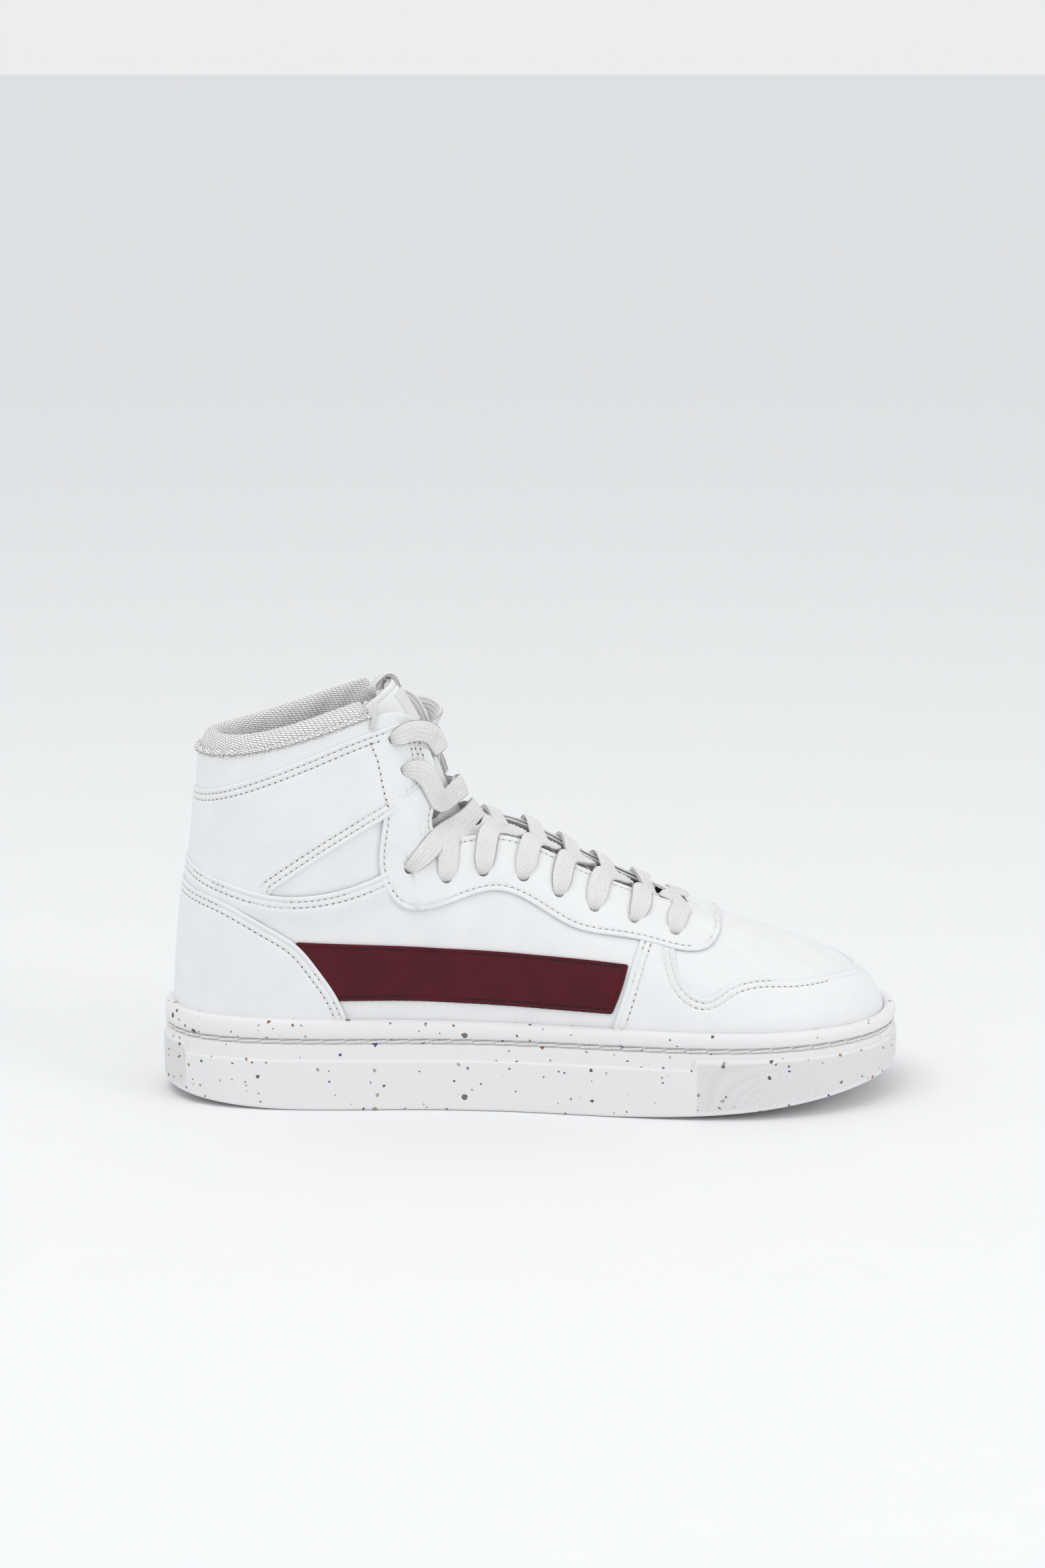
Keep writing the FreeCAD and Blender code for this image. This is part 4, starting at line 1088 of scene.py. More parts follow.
def sew(name, rows, thread, hole):
    stitches, holes = stitch_spots(rows)
    made = mesh_object(name, *placed(stitch_shape(), stitches))
    piece(made, "shoe", "thread", thread)
    # The needle holes are shallow dimples in a dark material: painted shade for the inside of each hole.
    dimples = mesh_object(name + "_needle_holes", *placed(hole_shape(), holes))
    piece(dimples, "shoe", "thread", hole)


def places_in_side_view(points, side):
    """Places of the upper that lie behind points of the side view."""
    stations = np.arange(0, TOE, 0.02)
    s, r = np.meshgrid(stations, np.arange(0, 1, 0.005), indexing="ij")
    flat = upper_point(s, r, 2.8)[..., [0, 2]]
    found = []
    for x, z in points:
        away = (flat[..., 0] - x) ** 2 + (flat[..., 1] - z) ** 2
        i, j = np.unravel_index(np.argmin(away), away.shape)
        found.append((on_side(side, s[i, j]), r[i, j]))
    return np.array(found)


# A single row of stitches down the ankle panel holds the eyestay behind it, with a short bar tack
# of three rows beside the tongue.
ANKLE_SEAM = [(-63.6, 149.0), (-60.3, 138.9), (-58.1, 127.1), (-56.5, 121.8)]
BAR_TACK = [[(x, 150.5), (x + 2.0, 141.0)] for x in (-49.0, -47.2, -45.4)]


def seam_rows():
    rows = []
    for side in SIDES:
        lines = [smooth_line(ANKLE_SEAM, 1.5)] + [np.linspace(low, high, 8) for low, high in BAR_TACK]
        for line in lines:
            seam = places_in_side_view(line, side)
            depth = ankle_depth(at_places(seam, LEATHER_DEPTH), seam) - 0.05
            rows.append((seam, depth))
    return rows


light_rows, dark_rows = upper_panels()
sew("upper_stitches", light_rows + seam_rows(), THREAD, HOLE_SHADE)
# On the maroon stripe the needle-hole dimples take the dark thread colour as painted shade for the holes.
sew("stripe_stitches", dark_rows, DARK_THREAD, DARK_THREAD)


# ---------------------------------------------------------------- sole

LEDGE = 20.7
BUMPER_TOP = 24.6
GROOVE = (27.2, 29.3)
BUMPER_FRONT = 65.0
BUMPER_BACK = -140.0
DIAMOND = (1.55, 1.30)
DIAMOND_HEIGHT = 0.42
DIAMOND_ROWS = 64
WALL_INSIDE = 5.2
# The lip above the groove: share of its height, and how far it stands in.
LIP = ((0.35, 0.25), (0.6, 0.35), (0.8, 0.7), (0.92, 1.3), (0.98, 2.2), (1.0, 3.2), (0.98, 4.4))
TREAD_PITCH = 15.0
TREAD_GROOVE = 3.0
TREAD_DEPTH = 1.8
TREAD_THICK = 5.0
CORD_STITCH = 8.6
PLY_TURN = 2.4                # length of one turn of the two plies


def round_stations():
    """Stations round the sole: four to a diamond in the bumpers, and wider apart elsewhere."""
    fine = np.linspace(0, STATIONS, 22001)
    reach = reach_of(OUTLINE(fine))
    result = []
    runs = []
    distance = 0.0
    while distance < reach[-1] - 0.2:
        station = np.interp(distance, reach, fine)
        x = OUTLINE(station)[0]
        in_bumper = x > BUMPER_FRONT - 2 or x < BUMPER_BACK + 2
        result.append(station)
        runs.append(distance)
        distance += DIAMOND[0] / 4 if in_bumper else 1.6
    return np.array(result), np.array(runs)


def cup_sole():
    stations, runs = round_stations()
    x = OUTLINE(stations)[:, 0]
    in_bumper = np.maximum(smooth_step(x, BUMPER_FRONT - 0.5, BUMPER_FRONT),
                           smooth_step(-x, -BUMPER_BACK - 0.5, -BUMPER_BACK))
    foot = lift(x)
    rows = [(WALL_INSIDE + 4.8, foot), (1.4, foot), (0.5, foot + 0.25), (0.1, foot + 0.7)]
    ledge = LEDGE + (BUMPER_TOP - LEDGE) * in_bumper
    for k in range(DIAMOND_ROWS + 1):
        height = foot + 1.3 + (ledge - 0.8 - foot - 1.3) * k / DIAMOND_ROWS
        u = runs / DIAMOND[0]
        v = height / DIAMOND[1]
        diamonds = sum(np.maximum(1 - np.abs(slant % 1 - 0.5) * 2, 0) for slant in (u + v, u - v))
        border = smooth_step(height - foot, 1.6, 2.2) * smooth_step(ledge - height, 0.9, 1.5)
        inner = smooth_step(np.abs(x - BUMPER_FRONT), 0.6, 1.0)
        relief = in_bumper * border * inner * (diamonds - 0.9) * DIAMOND_HEIGHT
        rows.append((-relief, height))
    low, high = GROOVE
    rows += [(0.05, ledge - 0.5), (0.25, ledge - 0.12), (0.6, ledge), (0.92, ledge + 0.05),
             (1.0, ledge + 0.35), (1.0, (ledge + low) / 2)]
    rows += [(1.0, low - 0.35), (1.15, low - 0.08), (1.6, low), (1.9, low + 0.25), (2.0, (low + high) / 2),
             (1.9, high - 0.2), (1.3, high + 0.05), (0.7, high + 0.35), (0.35, high + 0.9)]
    rim = rim_height(x)
    rows += [(inset, high + (rim - high) * part) for part, inset in LIP]
    rows += [(WALL_INSIDE, rim - 1.2), (WALL_INSIDE, foot + 5.0), (WALL_INSIDE + 4.8, foot + 5.0)]
    grid = []
    for inset, height in rows:
        plan = outline_point(stations, np.broadcast_to(inset, x.shape))
        grid.append(np.concatenate([plan, np.broadcast_to(height, x.shape)[:, None]], -1))
    faces = grid_faces(len(rows), len(x), close_rows=True, close_columns=True)
    wall = mesh_object("cup_wall", np.concatenate(grid), faces)
    piece(wall, "shoe", "rubber", RUBBER, "outsole")


def tread():
    """Plate inside the wall, with straight grooves across the bottom."""
    loop = outline_point(np.arange(0, STATIONS, 0.25), WALL_INSIDE + 4.7)
    ends = (loop[:, 0].min(), loop[:, 0].max())
    xs = list(ends) + list(np.arange(-140, 141, 5.0))
    for i in range(-10, 11):
        for edge in (-TREAD_GROOVE / 2, TREAD_GROOVE / 2):
            xs += [i * TREAD_PITCH + edge + nudge - TREAD_PITCH / 2 for nudge in (-0.02, 0.02)]
    points = []
    faces = []
    columns = [(x, *span_across(loop, x)) for x in sorted(xs) if ends[0] <= x <= ends[1]]
    columns = [(x, low, high) for x, low, high in columns if high - low > 0.5]
    across = 9
    for v, low, high in columns:
        place = (v + TREAD_PITCH / 2) % TREAD_PITCH
        groove = TREAD_DEPTH if min(place, TREAD_PITCH - place) < TREAD_GROOVE / 2 else 0.0
        for level in (groove, TREAD_THICK):
            for j in range(across):
                points.append((v, low + (high - low) * j / (across - 1), lift(v) + level))
    for i in range(len(columns) - 1):
        for level in (0, 1):
            for j in range(across - 1):
                a = (i * 2 + level) * across + j
                b = a + 2 * across
                faces.append((a, a + 1, b + 1, b) if level == 0 else (a, b, b + 1, a + 1))
        a = i * 2 * across
        b = a + 2 * across
        faces.append((a, b, b + across, a + across))
        faces.append((a + across - 1, a + 2 * across - 1, b + 2 * across - 1, b + across - 1))
    last = (len(columns) - 1) * 2 * across
    faces.append((*range(across), *range(2 * across - 1, across - 1, -1)))
    faces.append((*range(last + across - 1, last - 1, -1), *range(last + across, last + 2 * across)))
    plate = mesh_object("tread_plate", points, faces, smooth=False)
    piece(plate, "shoe", "rubber", RUBBER)


def sidewall_stitches():
    """Long lock stitches in the groove: each is a two-ply cord that dips in at both ends."""
    fine = np.linspace(0, STATIONS, 8801)
    places = outline_point(fine, 1.3)
    reach = reach_of(places)
    pitch = reach[-1] / round(reach[-1] / CORD_STITCH)
    points = []
    faces = []
    for k in range(int(round(reach[-1] / pitch))):
        run = np.linspace(k * pitch + 0.25, (k + 1) * pitch - 0.25, 25)
        part = np.linspace(0, 1, 25)
        station = np.interp(run, reach, fine)
        dip = np.clip(np.minimum(part, 1 - part) / 0.10, 0, 1)
        inset = 1.15 + 1.1 * (1 - np.sqrt(1 - (1 - dip) ** 2))
        for ply in (0, math.pi):
            angle = run * 2 * math.pi / PLY_TURN + ply
            here = outline_point(station, inset - 0.22 * np.cos(angle))
            height = (GROOVE[0] + GROOVE[1]) / 2 - 0.25 + 0.5 * part + 0.24 * np.sin(angle)
            line = np.concatenate([here, height[:, None]], -1)
            made, made_faces = tube(line, 0.36, 6)
            faces += [tuple(i + len(points) for i in f) for f in made_faces]
            points += list(made)
    made = mesh_object("sidewall_stitches", points, faces)
    piece(made, "shoe", "thread", THREAD, "sidewall_stitching")


cup_sole()
tread()
sidewall_stitches()


# ---------------------------------------------------------------- tongue
# Crest of the tongue's face: x and z, half width, and how far the edges stand back.

TONGUE = [(60, 65, 13, 4), (45, 74.5, 18, 6), (28, 83.5, 21, 6.5), (10, 92, 22, 7.5), (-8, 99.5, 20, 7.5),
          (-22, 107, 15.5, 9), (-31, 119, 15.5, 12), (-37, 133, 19, 13), (-43, 147, 21, 14),
          (-50, 160, 21.5, 14), (-56, 169, 21, 12)]
TONGUE_CURVE = spline(range(len(TONGUE)), TONGUE)
TONGUE_LEATHER = 1.2
TONGUE_PADDING = 4.5
TONGUE_LINING = 0.8
TONGUE_CROWN = 0.4
LABEL_PLACE = (8.35, 9.5, 0.42)         # runs of its lower and upper edges, and reach to each side


def tongue_point(run, side, depth):
    """Point of the tongue: run goes up it, side is -1 to 1 across, depth goes into the shoe."""
    run, side, depth = np.broadcast_arrays(*[np.asarray(v, float) for v in (run, side, depth)])
    x, z, width, back = np.moveaxis(TONGUE_CURVE(run), -1, 0)
    along = unit((TONGUE_CURVE(run + 0.001) - TONGUE_CURVE(run - 0.001))[..., :2])
    inwards = np.stack([along[..., 1], -along[..., 0]], -1)
    flip = (inwards[..., 0] > 0) & (inwards[..., 1] > 0)
    inwards = np.where(flip[..., None], -inwards, inwards)
    deep = back * side * side + depth
    return np.stack([x + inwards[..., 0] * deep, width * side, z + inwards[..., 1] * deep], -1)


def crest_out(run):
    return unit(tongue_point(run, 0, -1) - tongue_point(run, 0, 0))


def tongue_out(run, side):
    step = 0.01
    along = tongue_point(run, side, 0) - tongue_point(run - step, side, 0)
    over = tongue_point(run, side + step, 0) - tongue_point(run, side - step, 0)
    out = unit(np.cross(along, over))
    facing = np.einsum("...i,...i->...", out, crest_out(run))
    return np.where(facing[..., None] > 0, out, -out)


def shell(name, front, back):
    """Closed solid between two grids of points, the first one facing outwards."""
    rows, columns = front.shape[:2]
    count = rows * columns
    faces = [f[::-1] for f in grid_faces(rows, columns)]
    faces += [tuple(i + count for i in f[::-1]) for f in faces]
    rim = ([(i, 0) for i in range(rows)] + [(rows - 1, j) for j in range(1, columns)]
           + [(i, columns - 1) for i in range(rows - 2, -1, -1)]
           + [(0, j) for j in range(columns - 2, 0, -1)])
    for (i, j), (k, m) in zip(rim, rim[1:] + rim[:1]):
        a = i * columns + j
        b = k * columns + m
        faces.append((a, b, b + count, a + count))
    obj = mesh_object(name, np.concatenate([front.reshape(-1, 3), back.reshape(-1, 3)]), faces)
    make_outward(obj)
    return obj


def make_outward(obj):
    """Turns a closed mesh inside out if its volume comes out negative."""
    made = bmesh.new()
    made.from_mesh(obj.data)
    bmesh.ops.recalc_face_normals(made, faces=made.faces)
    if made.calc_volume(signed=True) < 0:
        bmesh.ops.reverse_faces(made, faces=made.faces)
    made.to_mesh(obj.data)
    made.free()


def tongue_edge(run, side):
    """Millimetres to the nearest side or top edge of the tongue."""
    width = TONGUE_CURVE(run)[..., 2]
    return np.minimum((1 - np.abs(side)) * width * 1.15, (9.95 - run) * 12.5)


def tongue_face():
    runs = np.append(np.linspace(0, 7.5, 76)[:-1], np.linspace(7.5, 9.95, 90))
    sides = np.sin(np.linspace(-1, 1, 111) * math.pi / 2)
    run, side = np.meshgrid(runs, sides, indexing="ij")
    edge = tongue_edge(run, side)
    rounding = np.clip(0.5 - edge, 0, 0.5)
    depth = (0.5 - np.sqrt(0.25 - rounding ** 2)) - TONGUE_CROWN * smooth_step(edge, 3, 9)
    depth += CHANNEL_DEPTH * np.exp(-((edge - 3.2) / CHANNEL_WIDTH) ** 2)
    face = shell("tongue_leather", tongue_point(run, side, depth), tongue_point(run, side, TONGUE_LEATHER))
    piece(face, "tongue", "white_leather", WHITE, "tongue_face")

    line = [(r, -(1 - 3.2 / (TONGUE_CURVE(r)[2] * 1.15))) for r in np.linspace(4, 9.55, 240)]
    line += [(9.95 - 3.2 / 12.5, s) for s in np.linspace(-0.80, 0.80, 160)]
    line += [(r, 1 - 3.2 / (TONGUE_CURVE(r)[2] * 1.15)) for r in np.linspace(9.55, 4, 240)]
    line = np.array(line)
    points = tongue_point(line[:, 0], line[:, 1], CHANNEL_DEPTH)
    reach = reach_of(points)
    stitches = []
    holes = []
    for d in np.arange(1, reach[-1] - 1, STITCH_PITCH):
        for kind, at, stand in ((stitches, d, 0.15), (holes, d + STITCH_PITCH / 2, 0.03)):
            run, side = read_at(at, reach, line)
            here = tongue_point(run, side, CHANNEL_DEPTH)
            normal = tongue_out(run, side)
            along = laid_flat(read_at(at + 0.4, reach, points) - here, normal)
            kind.append((here + normal * stand, along, normal))
    piece(mesh_object("tongue_stitches", *placed(stitch_shape(), stitches)), "tongue", "thread", THREAD)
    # Needle holes on the tongue: dark dimples painted as the shade inside each hole.
    piece(mesh_object("tongue_needle_holes", *placed(hole_shape(), holes)), "tongue", "thread", HOLE_SHADE)


def tongue_pad():
    """Stuffed back of the tongue in lining cloth, crumpled where it shows above the leather."""
    runs = np.linspace(0.3, 10.0, 190)
    sides = np.sin(np.linspace(-1, 1, 81) * math.pi / 2) * 0.975
    run, side = np.meshgrid(runs, sides, indexing="ij")
    top = smooth_step(run, 8.6, 9.7)
    crumple = (0.35 * np.sin(side * 17 + run * 5) + 0.25 * np.sin(side * 31 - run * 9 + 1)
               + 0.2 * np.sin(run * 23 + side * 8))
    full = TONGUE_LEATHER + TONGUE_LINING + TONGUE_PADDING * (1 - 0.8 * side * side)
    edge = np.minimum(tongue_edge(run, side), (run - 0.3) * 14 + 0.3)
    pinch = smooth_step(edge, -0.8, 3.5)
    quilt = 0.35 * np.exp(-(side / 0.05) ** 2)
    front = tongue_point(run, side, TONGUE_LEATHER + 0.1 + (1 - pinch) * 0.4)
    back = tongue_point(run, side, TONGUE_LEATHER + 0.6 + (full - TONGUE_LEATHER - 0.6) * pinch - quilt
                        + (0.3 + 0.7 * top) * crumple * pinch * 0.7)
    ripple = 0.9 * smooth_step(run, 9.82, 10.0) * (np.sin(side * 19) + 0.6 * np.sin(side * 41 + 2))
    up = unit(tongue_point(run, side, 0) - tongue_point(run - 0.05, side, 0))
    pad = shell("tongue_pad", front + up * ripple[..., None], back + up * ripple[..., None])
    width = TONGUE_CURVE(run)[..., 2]
    place = np.stack([side * width, run * 13.5], -1).reshape(-1, 2)
    add_uv(pad, np.concatenate([place, place]))
    piece(pad, "tongue", "textile_lining", TWILL, "tongue_lining", "tongue_padding")


def tongue_label():
    low, high, reach = LABEL_PLACE
    runs = np.linspace(low, high, 40)
    sides = np.linspace(-reach, reach, 40)
    run, side = np.meshgrid(runs, sides, indexing="ij")
    edge = np.minimum(np.minimum(run - low, high - run) * 12.5, (reach - np.abs(side)) * 21)
    stand = TONGUE_CROWN + 0.1 + 0.55 * np.sqrt(np.clip(edge / 0.5, 0, 1))
    stand -= 0.16 * np.exp(-((edge - 1.6) / 0.3) ** 2)
    label = shell("tongue_label_patch", tongue_point(run, side, -stand),
                  tongue_point(run, side, 0.1 - TONGUE_CROWN))
    place = np.stack([side * 21, run * 12.5], -1).reshape(-1, 2)
    add_uv(label, np.concatenate([place, place]))
    piece(label, "tongue", "textile_lining", LABEL, "tongue_label")


tongue_face()
tongue_pad()
tongue_label()


# ---------------------------------------------------------------- lace

CROSSINGS = [(8.65, 0.7, 5.6, 7.57), (7.38, 1.7, 5.6, 6.77), (6.65, 2.55, 5.6, 6.21), (6.12, 3.3, 5.6, 5.77),
             (5.67, 4.1, 5.4, 5.28), (5.18, 4.8, 5.4, 4.87), (4.80, 5.5, 5.2, 4.70), (4.56, 6.3, 4.8, 4.25),
             (4.05, 7.7, 4.4, 3.85)]
FIRST_SHAFT_CROSSING = 5      # from here up the lace follows the steep part of the tongue
NOTCH_CROSSING = 7            # this strand comes up through the notch in front of the ankle flap
LACE_WIDE = 8.8
LACE_HIDDEN = 5.0             # gathered where it is out of sight under the eyestay
LACE_NARROW = 3.6
LACE_THICK = 2.3
OVERLAY_TOP = 3.95
OUTSIDE = OVERLAY_TOP + 1.2
INSIDE = -1.2
LACE_STEP = 0.8
LACE_RIBS = 5
SPREADING = 0.45              # under 1, the lace spreads soon after it leaves an eyelet


def normal_at(station, rise):
    return unit(upper_normal(station, min(rise, 1.0)))


def into_eyelet(number, side, edge, face):
    station, rise = EYELETS[number]
    here = on_side(side, station)
    towards = unit(upper_point(edge, 1, 0) - upper_point(here, rise, 0))
    return [(upper_point(here, rise, depth), towards * -face, LACE_NARROW) for depth in (OVERLAY_TOP, 0.0)]


def half_lace(side):
    """Places of half the lace from the middle of the front bar: point, face direction, width."""
    places = [(np.array([56.5, 0, 80.2]), np.array([0, 0, 1.0]), LACE_WIDE)]
    for station, rise, above in ((8.75, 0.985, 0), (7.75, 0.80, 0.5)):
        place = on_side(side, station)
        places.append((upper_point(place, rise, OUTSIDE + above), normal_at(place, rise), LACE_WIDE * 0.9))
    face = 1
    for number, (under, run, height, over) in enumerate(CROSSINGS):
        other = "medial" if side == "lateral" else "lateral"
        station, rise = EYELETS[number]
        here = on_side(side, station)
        edge = on_side(side, under)
        there = on_side(other, over)
        out = normal_at(here, rise)

        # into the eyelet and along the inside of the eyestay to its edge
        places += into_eyelet(number, side, edge, face)
        hang = 1.3 if number == NOTCH_CROSSING else 0.4
        for share in (0.4, 0.75):
            inner = upper_point(here + (edge - here) * share, rise + (1 - rise) * share, INSIDE - hang)
            places.append((inner, out * -face, LACE_HIDDEN * (0.7 + 0.3 * share)))
        face = -face
        low_edge = upper_point(edge, 1, INSIDE - 0.6)
        places.append((low_edge, normal_at(edge, 1) * face, LACE_HIDDEN * 1.15))

        # over the tongue; the strand that comes down on the lateral side lies on top
        last = number == len(CROSSINGS) - 1
        high_edge = upper_point(there, 1.02 if last else 1.01, OUTSIDE + (1.3 if last else 0.6))
        up = crest_out(run)
        on_top = 1 if other == "lateral" else -1
        middle = tongue_point(run, 0, -height - 1.3 * on_top)
        if number < FIRST_SHAFT_CROSSING:
            rising = (low_edge + middle) / 2 + up * (1.6 if on_top > 0 else 0.2)
            falling = (middle + high_edge) / 2 - up * (0.3 if on_top < 0 else 0.0)
        else:
            start = -1 if side == "lateral" else 1
            if number == NOTCH_CROSSING:
                places.append((tongue_point(run - 0.42, start, -4), up * face, LACE_HIDDEN))
            rising = tongue_point(run - 0.1, 0.55 * start, -height - 0.6 * on_top)
            falling = tongue_point(run, -0.55 * start, -height - 0.8 * on_top - 0.4)
        for point in (rising, middle, falling):
            places.append((point, up * face, LACE_WIDE))
        places.append((high_edge, normal_at(there, 1) * face, LACE_WIDE))

        # down the outside of the eyestay to the next eyelet
        station, rise = EYELETS[number + 1]
        here = on_side(other, station)
        bow = 1.4 if number + 1 == NOTCH_CROSSING else 0.7
        places.append((upper_point((2 * here + there) / 3, (1 + 2 * rise) / 3, OUTSIDE + bow),
                       normal_at(here, rise) * face, LACE_WIDE))
        side = other
    return places, side, face


def ribbon(name, places, body, *nodes):
    """Flat puffy lace along places of point, face direction and width."""
    points, faces, widths = (np.array(values) for values in zip(*places))
    reach = reach_of(points)
    at = np.arange(0, reach[-1], LACE_STEP)
    line = spline(reach, points)(at)
    along = unit(np.gradient(line, axis=0))
    facing = read_at(at, reach, faces)
    across = unit(np.cross(along, facing))
    up = np.cross(across, along)
    spread = (np.interp(at, reach, widths) - LACE_NARROW) / (LACE_WIDE - LACE_NARROW)
    wide = LACE_NARROW + (LACE_WIDE - LACE_NARROW) * spread ** SPREADING
    kernel = np.hanning(9) / np.hanning(9).sum()
    wide = np.convolve(np.pad(wide, 4, mode="edge"), kernel, mode="valid")
    real = reach_of(line)
    gathered = smooth_step(wide, LACE_WIDE * 0.85, LACE_NARROW)
    uneven = 1 + 0.05 * np.sin(real / 5.3) + 0.04 * np.sin(real / 2.1 + 1)
    thick = LACE_THICK * (1 + 0.35 * gathered) * uneven
    share = np.linspace(-1, 1, 21)
    profile = (1 - np.abs(share) ** 4) ** 0.55
    ribs = 0.5 - 0.5 * np.cos((share + 1) * math.pi * LACE_RIBS)
    top = (0.66 + 0.34 * ribs) * profile
    section = np.concatenate([np.stack([share, top], -1), np.stack([share, -top], -1)[-2:0:-1]])
    sag = 0.22 * np.sin(real / 7.7)[:, None] * (section[:, 0] ** 2)[None]
    rings = (line[:, None] + across[:, None] * (section[:, 0] * wide[:, None] / 2)[..., None]
             + up[:, None] * (section[:, 1] * thick[:, None] / 2 + sag)[..., None])
    sides = len(section)
    mesh_faces = grid_faces(len(line), sides, close_columns=True) + end_caps(sides, len(line) * sides)
    lace = mesh_object(name, rings.reshape(-1, 3), mesh_faces)
    make_outward(lace)
    around = section[:, 0] * LACE_WIDE / 2 + np.where(section[:, 1] < 0, 20, 0)
    add_uv(lace, np.stack(np.meshgrid(real, around, indexing="ij"), -1).reshape(-1, 2))
    piece(lace, body, "lace_cotton", COTTON, *nodes)


def lace():
    station, rise = EYELETS[-1]
    halves = []
    for start in SIDES:
        places, side, face = half_lace(start)
        places += into_eyelet(len(EYELETS) - 1, side, on_side(side, 3.8), face)
        if side == "lateral":
            for low in (0.86, 0.76, 0.66):
                tail = on_side(side, 3.46)
                point = upper_point(tail, low, INSIDE - 0.4)
                places.append((point, normal_at(tail, low) * -face, LACE_HIDDEN))
        else:
            here = on_side(side, station)
            places.append((upper_point(on_side(side, 3.55), 0.955, INSIDE), normal_at(here, rise) * -face,
                           LACE_HIDDEN))
        halves.append(places)
    first, second = halves
    ribbon("lace_ribbon", list(reversed(second)) + first[1:], "shoe", "lace")


TONGUE_DEPTH = TONGUE_LEATHER + TONGUE_PADDING + TONGUE_LINING
END_LIFT = 1.5


def lace_end():
    """Free end that runs up the face of the tongue, over its top and into the shoe."""
    places = []
    for run, side in ((8.55, 0.62), (9.1, 0.55), (9.6, 0.50)):
        out = tongue_out(run, side)
        places.append((tongue_point(run, side, 0) + out * END_LIFT, out, LACE_WIDE * 0.8))
    top = tongue_point(9.95, 0.46, 0)
    up = unit(tongue_point(10, 0, 0) - tongue_point(9.9, 0, 0))
    out = tongue_out(9.95, 0.46)
    places.append((top + up * 1.8 + out * 0.5, unit(up + out), LACE_WIDE * 0.8))
    places.append((top + up * 2.4 - out * (TONGUE_DEPTH / 2), up, LACE_WIDE * 0.8))
    places.append((top + up * 0.8 - out * (TONGUE_DEPTH + END_LIFT), unit(up - out), LACE_WIDE * 0.7))
    for run, side in ((9.4, 0.42), (8.7, 0.40), (8.0, 0.38)):
        out = tongue_out(run, side)
        behind = tongue_point(run, side, 0) - out * (TONGUE_DEPTH + END_LIFT)
        places.append((behind, -out, LACE_HIDDEN))
    ribbon("lace_end_ribbon", places, "tongue", "lace_end")


lace()
lace_end()


# ---------------------------------------------------------------- collar
# Section of the padded collar roll as rise and depth, from under the edge of the leather, over the
# top and down the inside of the shaft.

ROLL = [(0.985, 1.6), (1.02, 1.2), (1.05, -0.4), (1.062, -3.5), (1.045, -6.4), (1.005, -8.0), (0.95, -8.4),
        (0.88, -7.8), (0.80, -5.6), (0.73, -2.4), (0.675, -0.2)]
ROLL_END = 3.05
RIB_PITCH = 1.75
TAB_STATION = 3.10


def collar():
    stations = np.linspace(-ROLL_END, ROLL_END, 261)
    section = spline(range(len(ROLL)), ROLL)(np.linspace(0, len(ROLL) - 1, 61))
    back = np.stack([np.linspace(0.70, 0.965, 14), np.full(14, 0.9)], -1)
    loop = np.concatenate([section, back])
    slim = 1 - 0.45 * (np.abs(stations) / ROLL_END) ** 4
    middle = np.array([0.9, -2.6])
    end = smooth_step(np.abs(stations), ROLL_END - 0.16, ROLL_END)
    rows = []
    for s, thin, pinch in zip(stations, slim, end):
        moved = middle + (loop - middle) * (1 - 0.22 * pinch)
        depth = np.where(moved[:, 1] < 0, moved[:, 1] * thin, moved[:, 1])
        inside = np.clip(-moved[:, 1] / 8, 0, 1)
        near_front = smooth_step(abs(s), 1.9, 2.8)
        crease = (0.25 + 0.55 * near_front) * np.sin(s * 9 + moved[:, 0] * 38) * np.sin(s * 4.1 + 1.3)
        rows.append(upper_point(s, moved[:, 0], depth + inside * crease * 0.8))
    grid = np.array(rows)
    faces = grid_faces(len(stations), len(loop), close_columns=True)
    faces += end_caps(len(loop), len(stations) * len(loop))
    roll = mesh_object("collar_roll", grid.reshape(-1, 3), faces)
    make_outward(roll)
    around = reach_of(loop * [RISE_SCALE, 1])
    place = np.stack(np.meshgrid(stations * 24, around, indexing="ij"), -1).reshape(-1, 2)
    add_uv(roll, place)
    piece(roll, "shoe", "spacer_mesh", MESH, "collar_lining", "collar_padding")


def collar_edge():
    """Knitted rib that is sewn over the top edge of the leather."""
    stations = np.linspace(-3.06, 3.06, 3000)
    line = upper_point(stations, 1.004, 2.35)
    reach = reach_of(line)
    even = np.arange(0, reach[-1], RIB_PITCH / 6)
    line = read_at(even, reach, line)
    sides = 12
    angles = np.arange(sides) * 2 * math.pi / sides
    wave = np.cos(2 * math.pi * even[:, None] / RIB_PITCH + angles[None])
    radii = 1.35 + 0.32 * wave + 0.08 * np.sin(even / 6.1)[:, None]
    points, faces = tube(line, radii, sides)
    rib = mesh_object("collar_rib_edge", points, faces)
    make_outward(rib)
    add_uv(rib, np.stack([np.repeat(even, sides), np.tile(angles * 1.3, len(even))], -1))
    piece(rib, "shoe", "spacer_mesh", MESH)


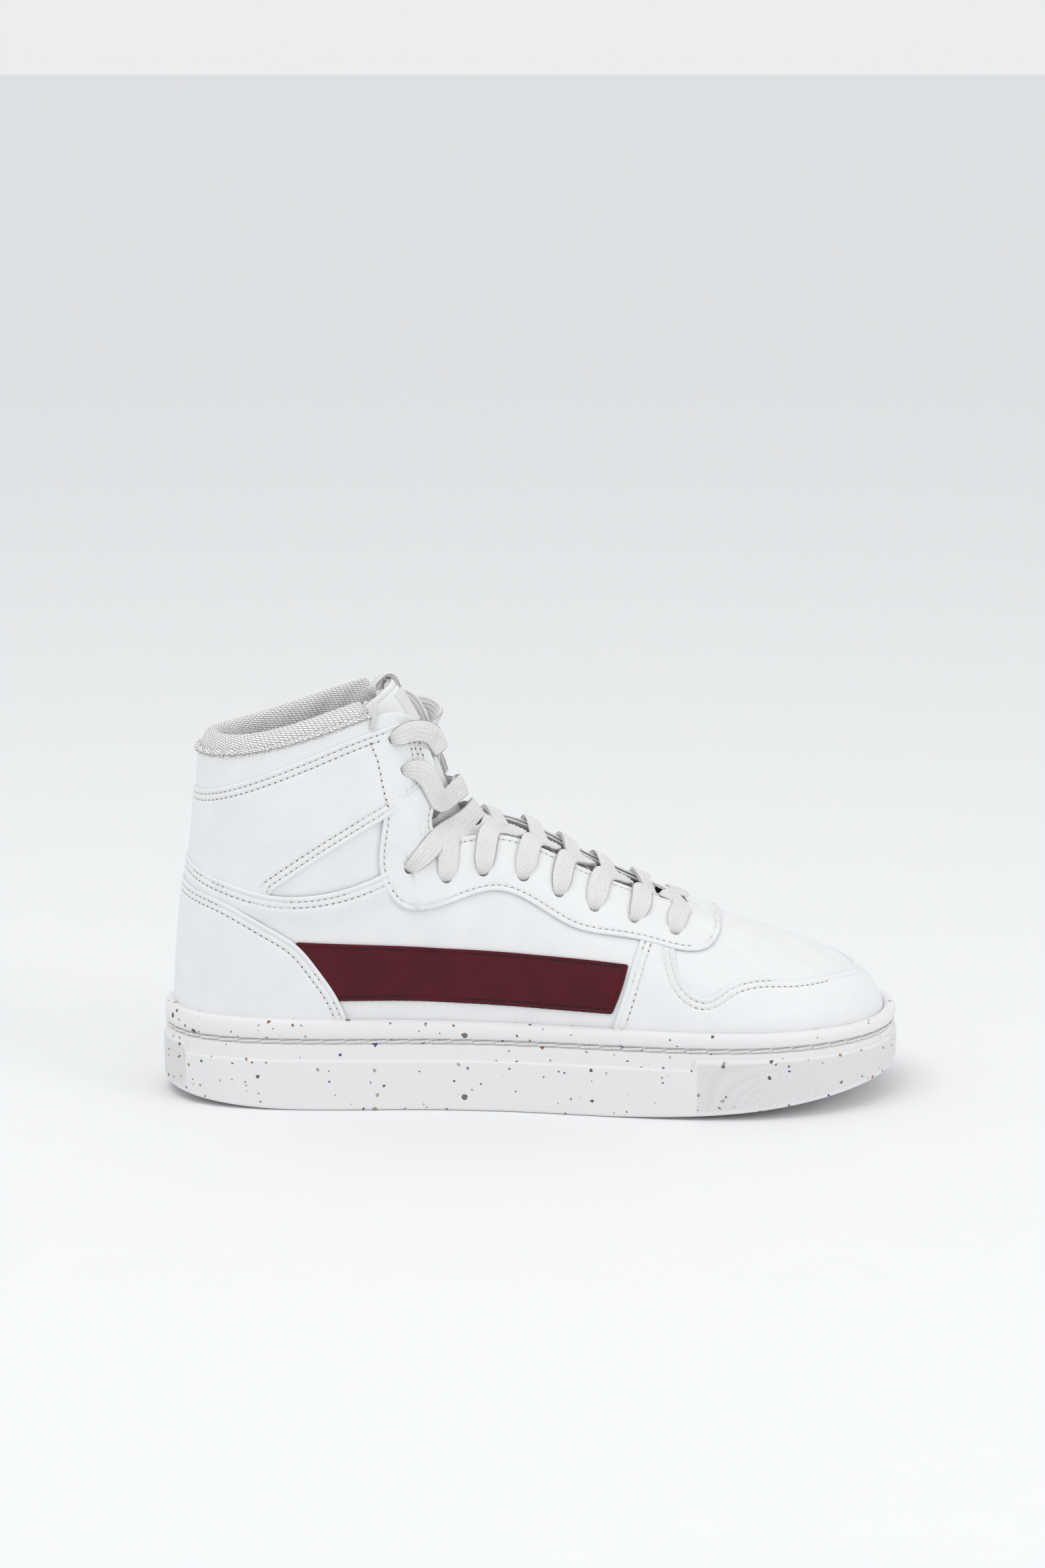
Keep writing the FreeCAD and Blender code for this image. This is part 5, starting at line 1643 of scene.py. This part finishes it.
def collar_tabs():
    """Binding folded over each front end of the collar."""
    rows = 24
    sides = 12
    rises = np.linspace(0.962, 1.046, rows)
    depths = np.interp(rises, [0.962, 1.0, 1.03, 1.046], [3.5, 3.6, 2.4, 0.6])
    angles = np.arange(sides) * 2 * math.pi / sides
    radii = np.tile(0.85 + 0.2 * np.cos(2 * angles), (rows, 1))
    radii[[0, -1]] *= 0.4
    for side, station in zip(SIDES, (TAB_STATION, -TAB_STATION)):
        line = upper_point(station, rises, depths)
        points, faces = tube(line, radii, sides, upper_normal(station, 0.99))
        tab = mesh_object("collar_tab_" + side, points, faces)
        make_outward(tab)
        add_uv(tab, np.stack([np.repeat(np.arange(rows) * 0.5, sides), np.tile(angles, rows)], -1))
        piece(tab, "shoe", "textile_lining", TWILL)


collar()
collar_edge()
collar_tabs()


# ---------------------------------------------------------------- footbed and the plain parts inside

def footbed():
    """Cushioned sockliner: crowned, rolled over at the edge, with a slight cup for the heel."""
    bottom = 16.3
    inset = FEATHER_INSET + 0.75
    loop = outline_point(np.arange(0, STATIONS, 0.1), inset)
    rear = loop[:, 0].min()
    front = loop[:, 0].max()
    near_end = np.array([0.15, 0.6, 1.5, 3])
    xs = np.concatenate([rear + near_end, np.arange(rear + 5, front - 4, 2.5), front - near_end[::-1]])
    shares = 0.5 - 0.5 * np.cos(np.linspace(0, math.pi, 41))
    top = []
    low = []
    for v in xs:
        right, left = span_across(loop, v)
        y = right + (left - right) * shares
        edge = np.minimum(np.minimum(y - right, left - y), min(v - rear, front - v))
        height = 2.6 + 1.3 * np.sqrt(np.clip(edge / 2.0, 0, 1)) - 0.5 * smooth_step(edge, 6, 24)
        height -= 0.25 * np.exp(-((edge - 4.0) / 0.5) ** 2)
        top.append(np.stack([np.full_like(y, v), y, lift(v) + bottom + height], -1))
        low.append(np.stack([np.full_like(y, v), y, np.full_like(y, lift(v) + bottom)], -1))
    bed = shell("footbed_cushion", np.array(top), np.array(low))
    place = np.array(top)[..., :2].reshape(-1, 2)
    add_uv(bed, np.concatenate([place, place]))
    piece(bed, "footbed", "textile_lining", TWILL, "sockliner")


footbed()

PLAIN = {"midsole_filler": FOAM, "insole_board": BOARD, "heel_counter": BOARD, "toe_puff": BOARD,
         "aglet_lateral": CLEAR_TIP, "aglet_medial": CLEAR_TIP}
for name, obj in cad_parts.items():
    for slot in obj.material_slots:
        slot.material = PLAIN.get(name, TWILL_PLAIN)
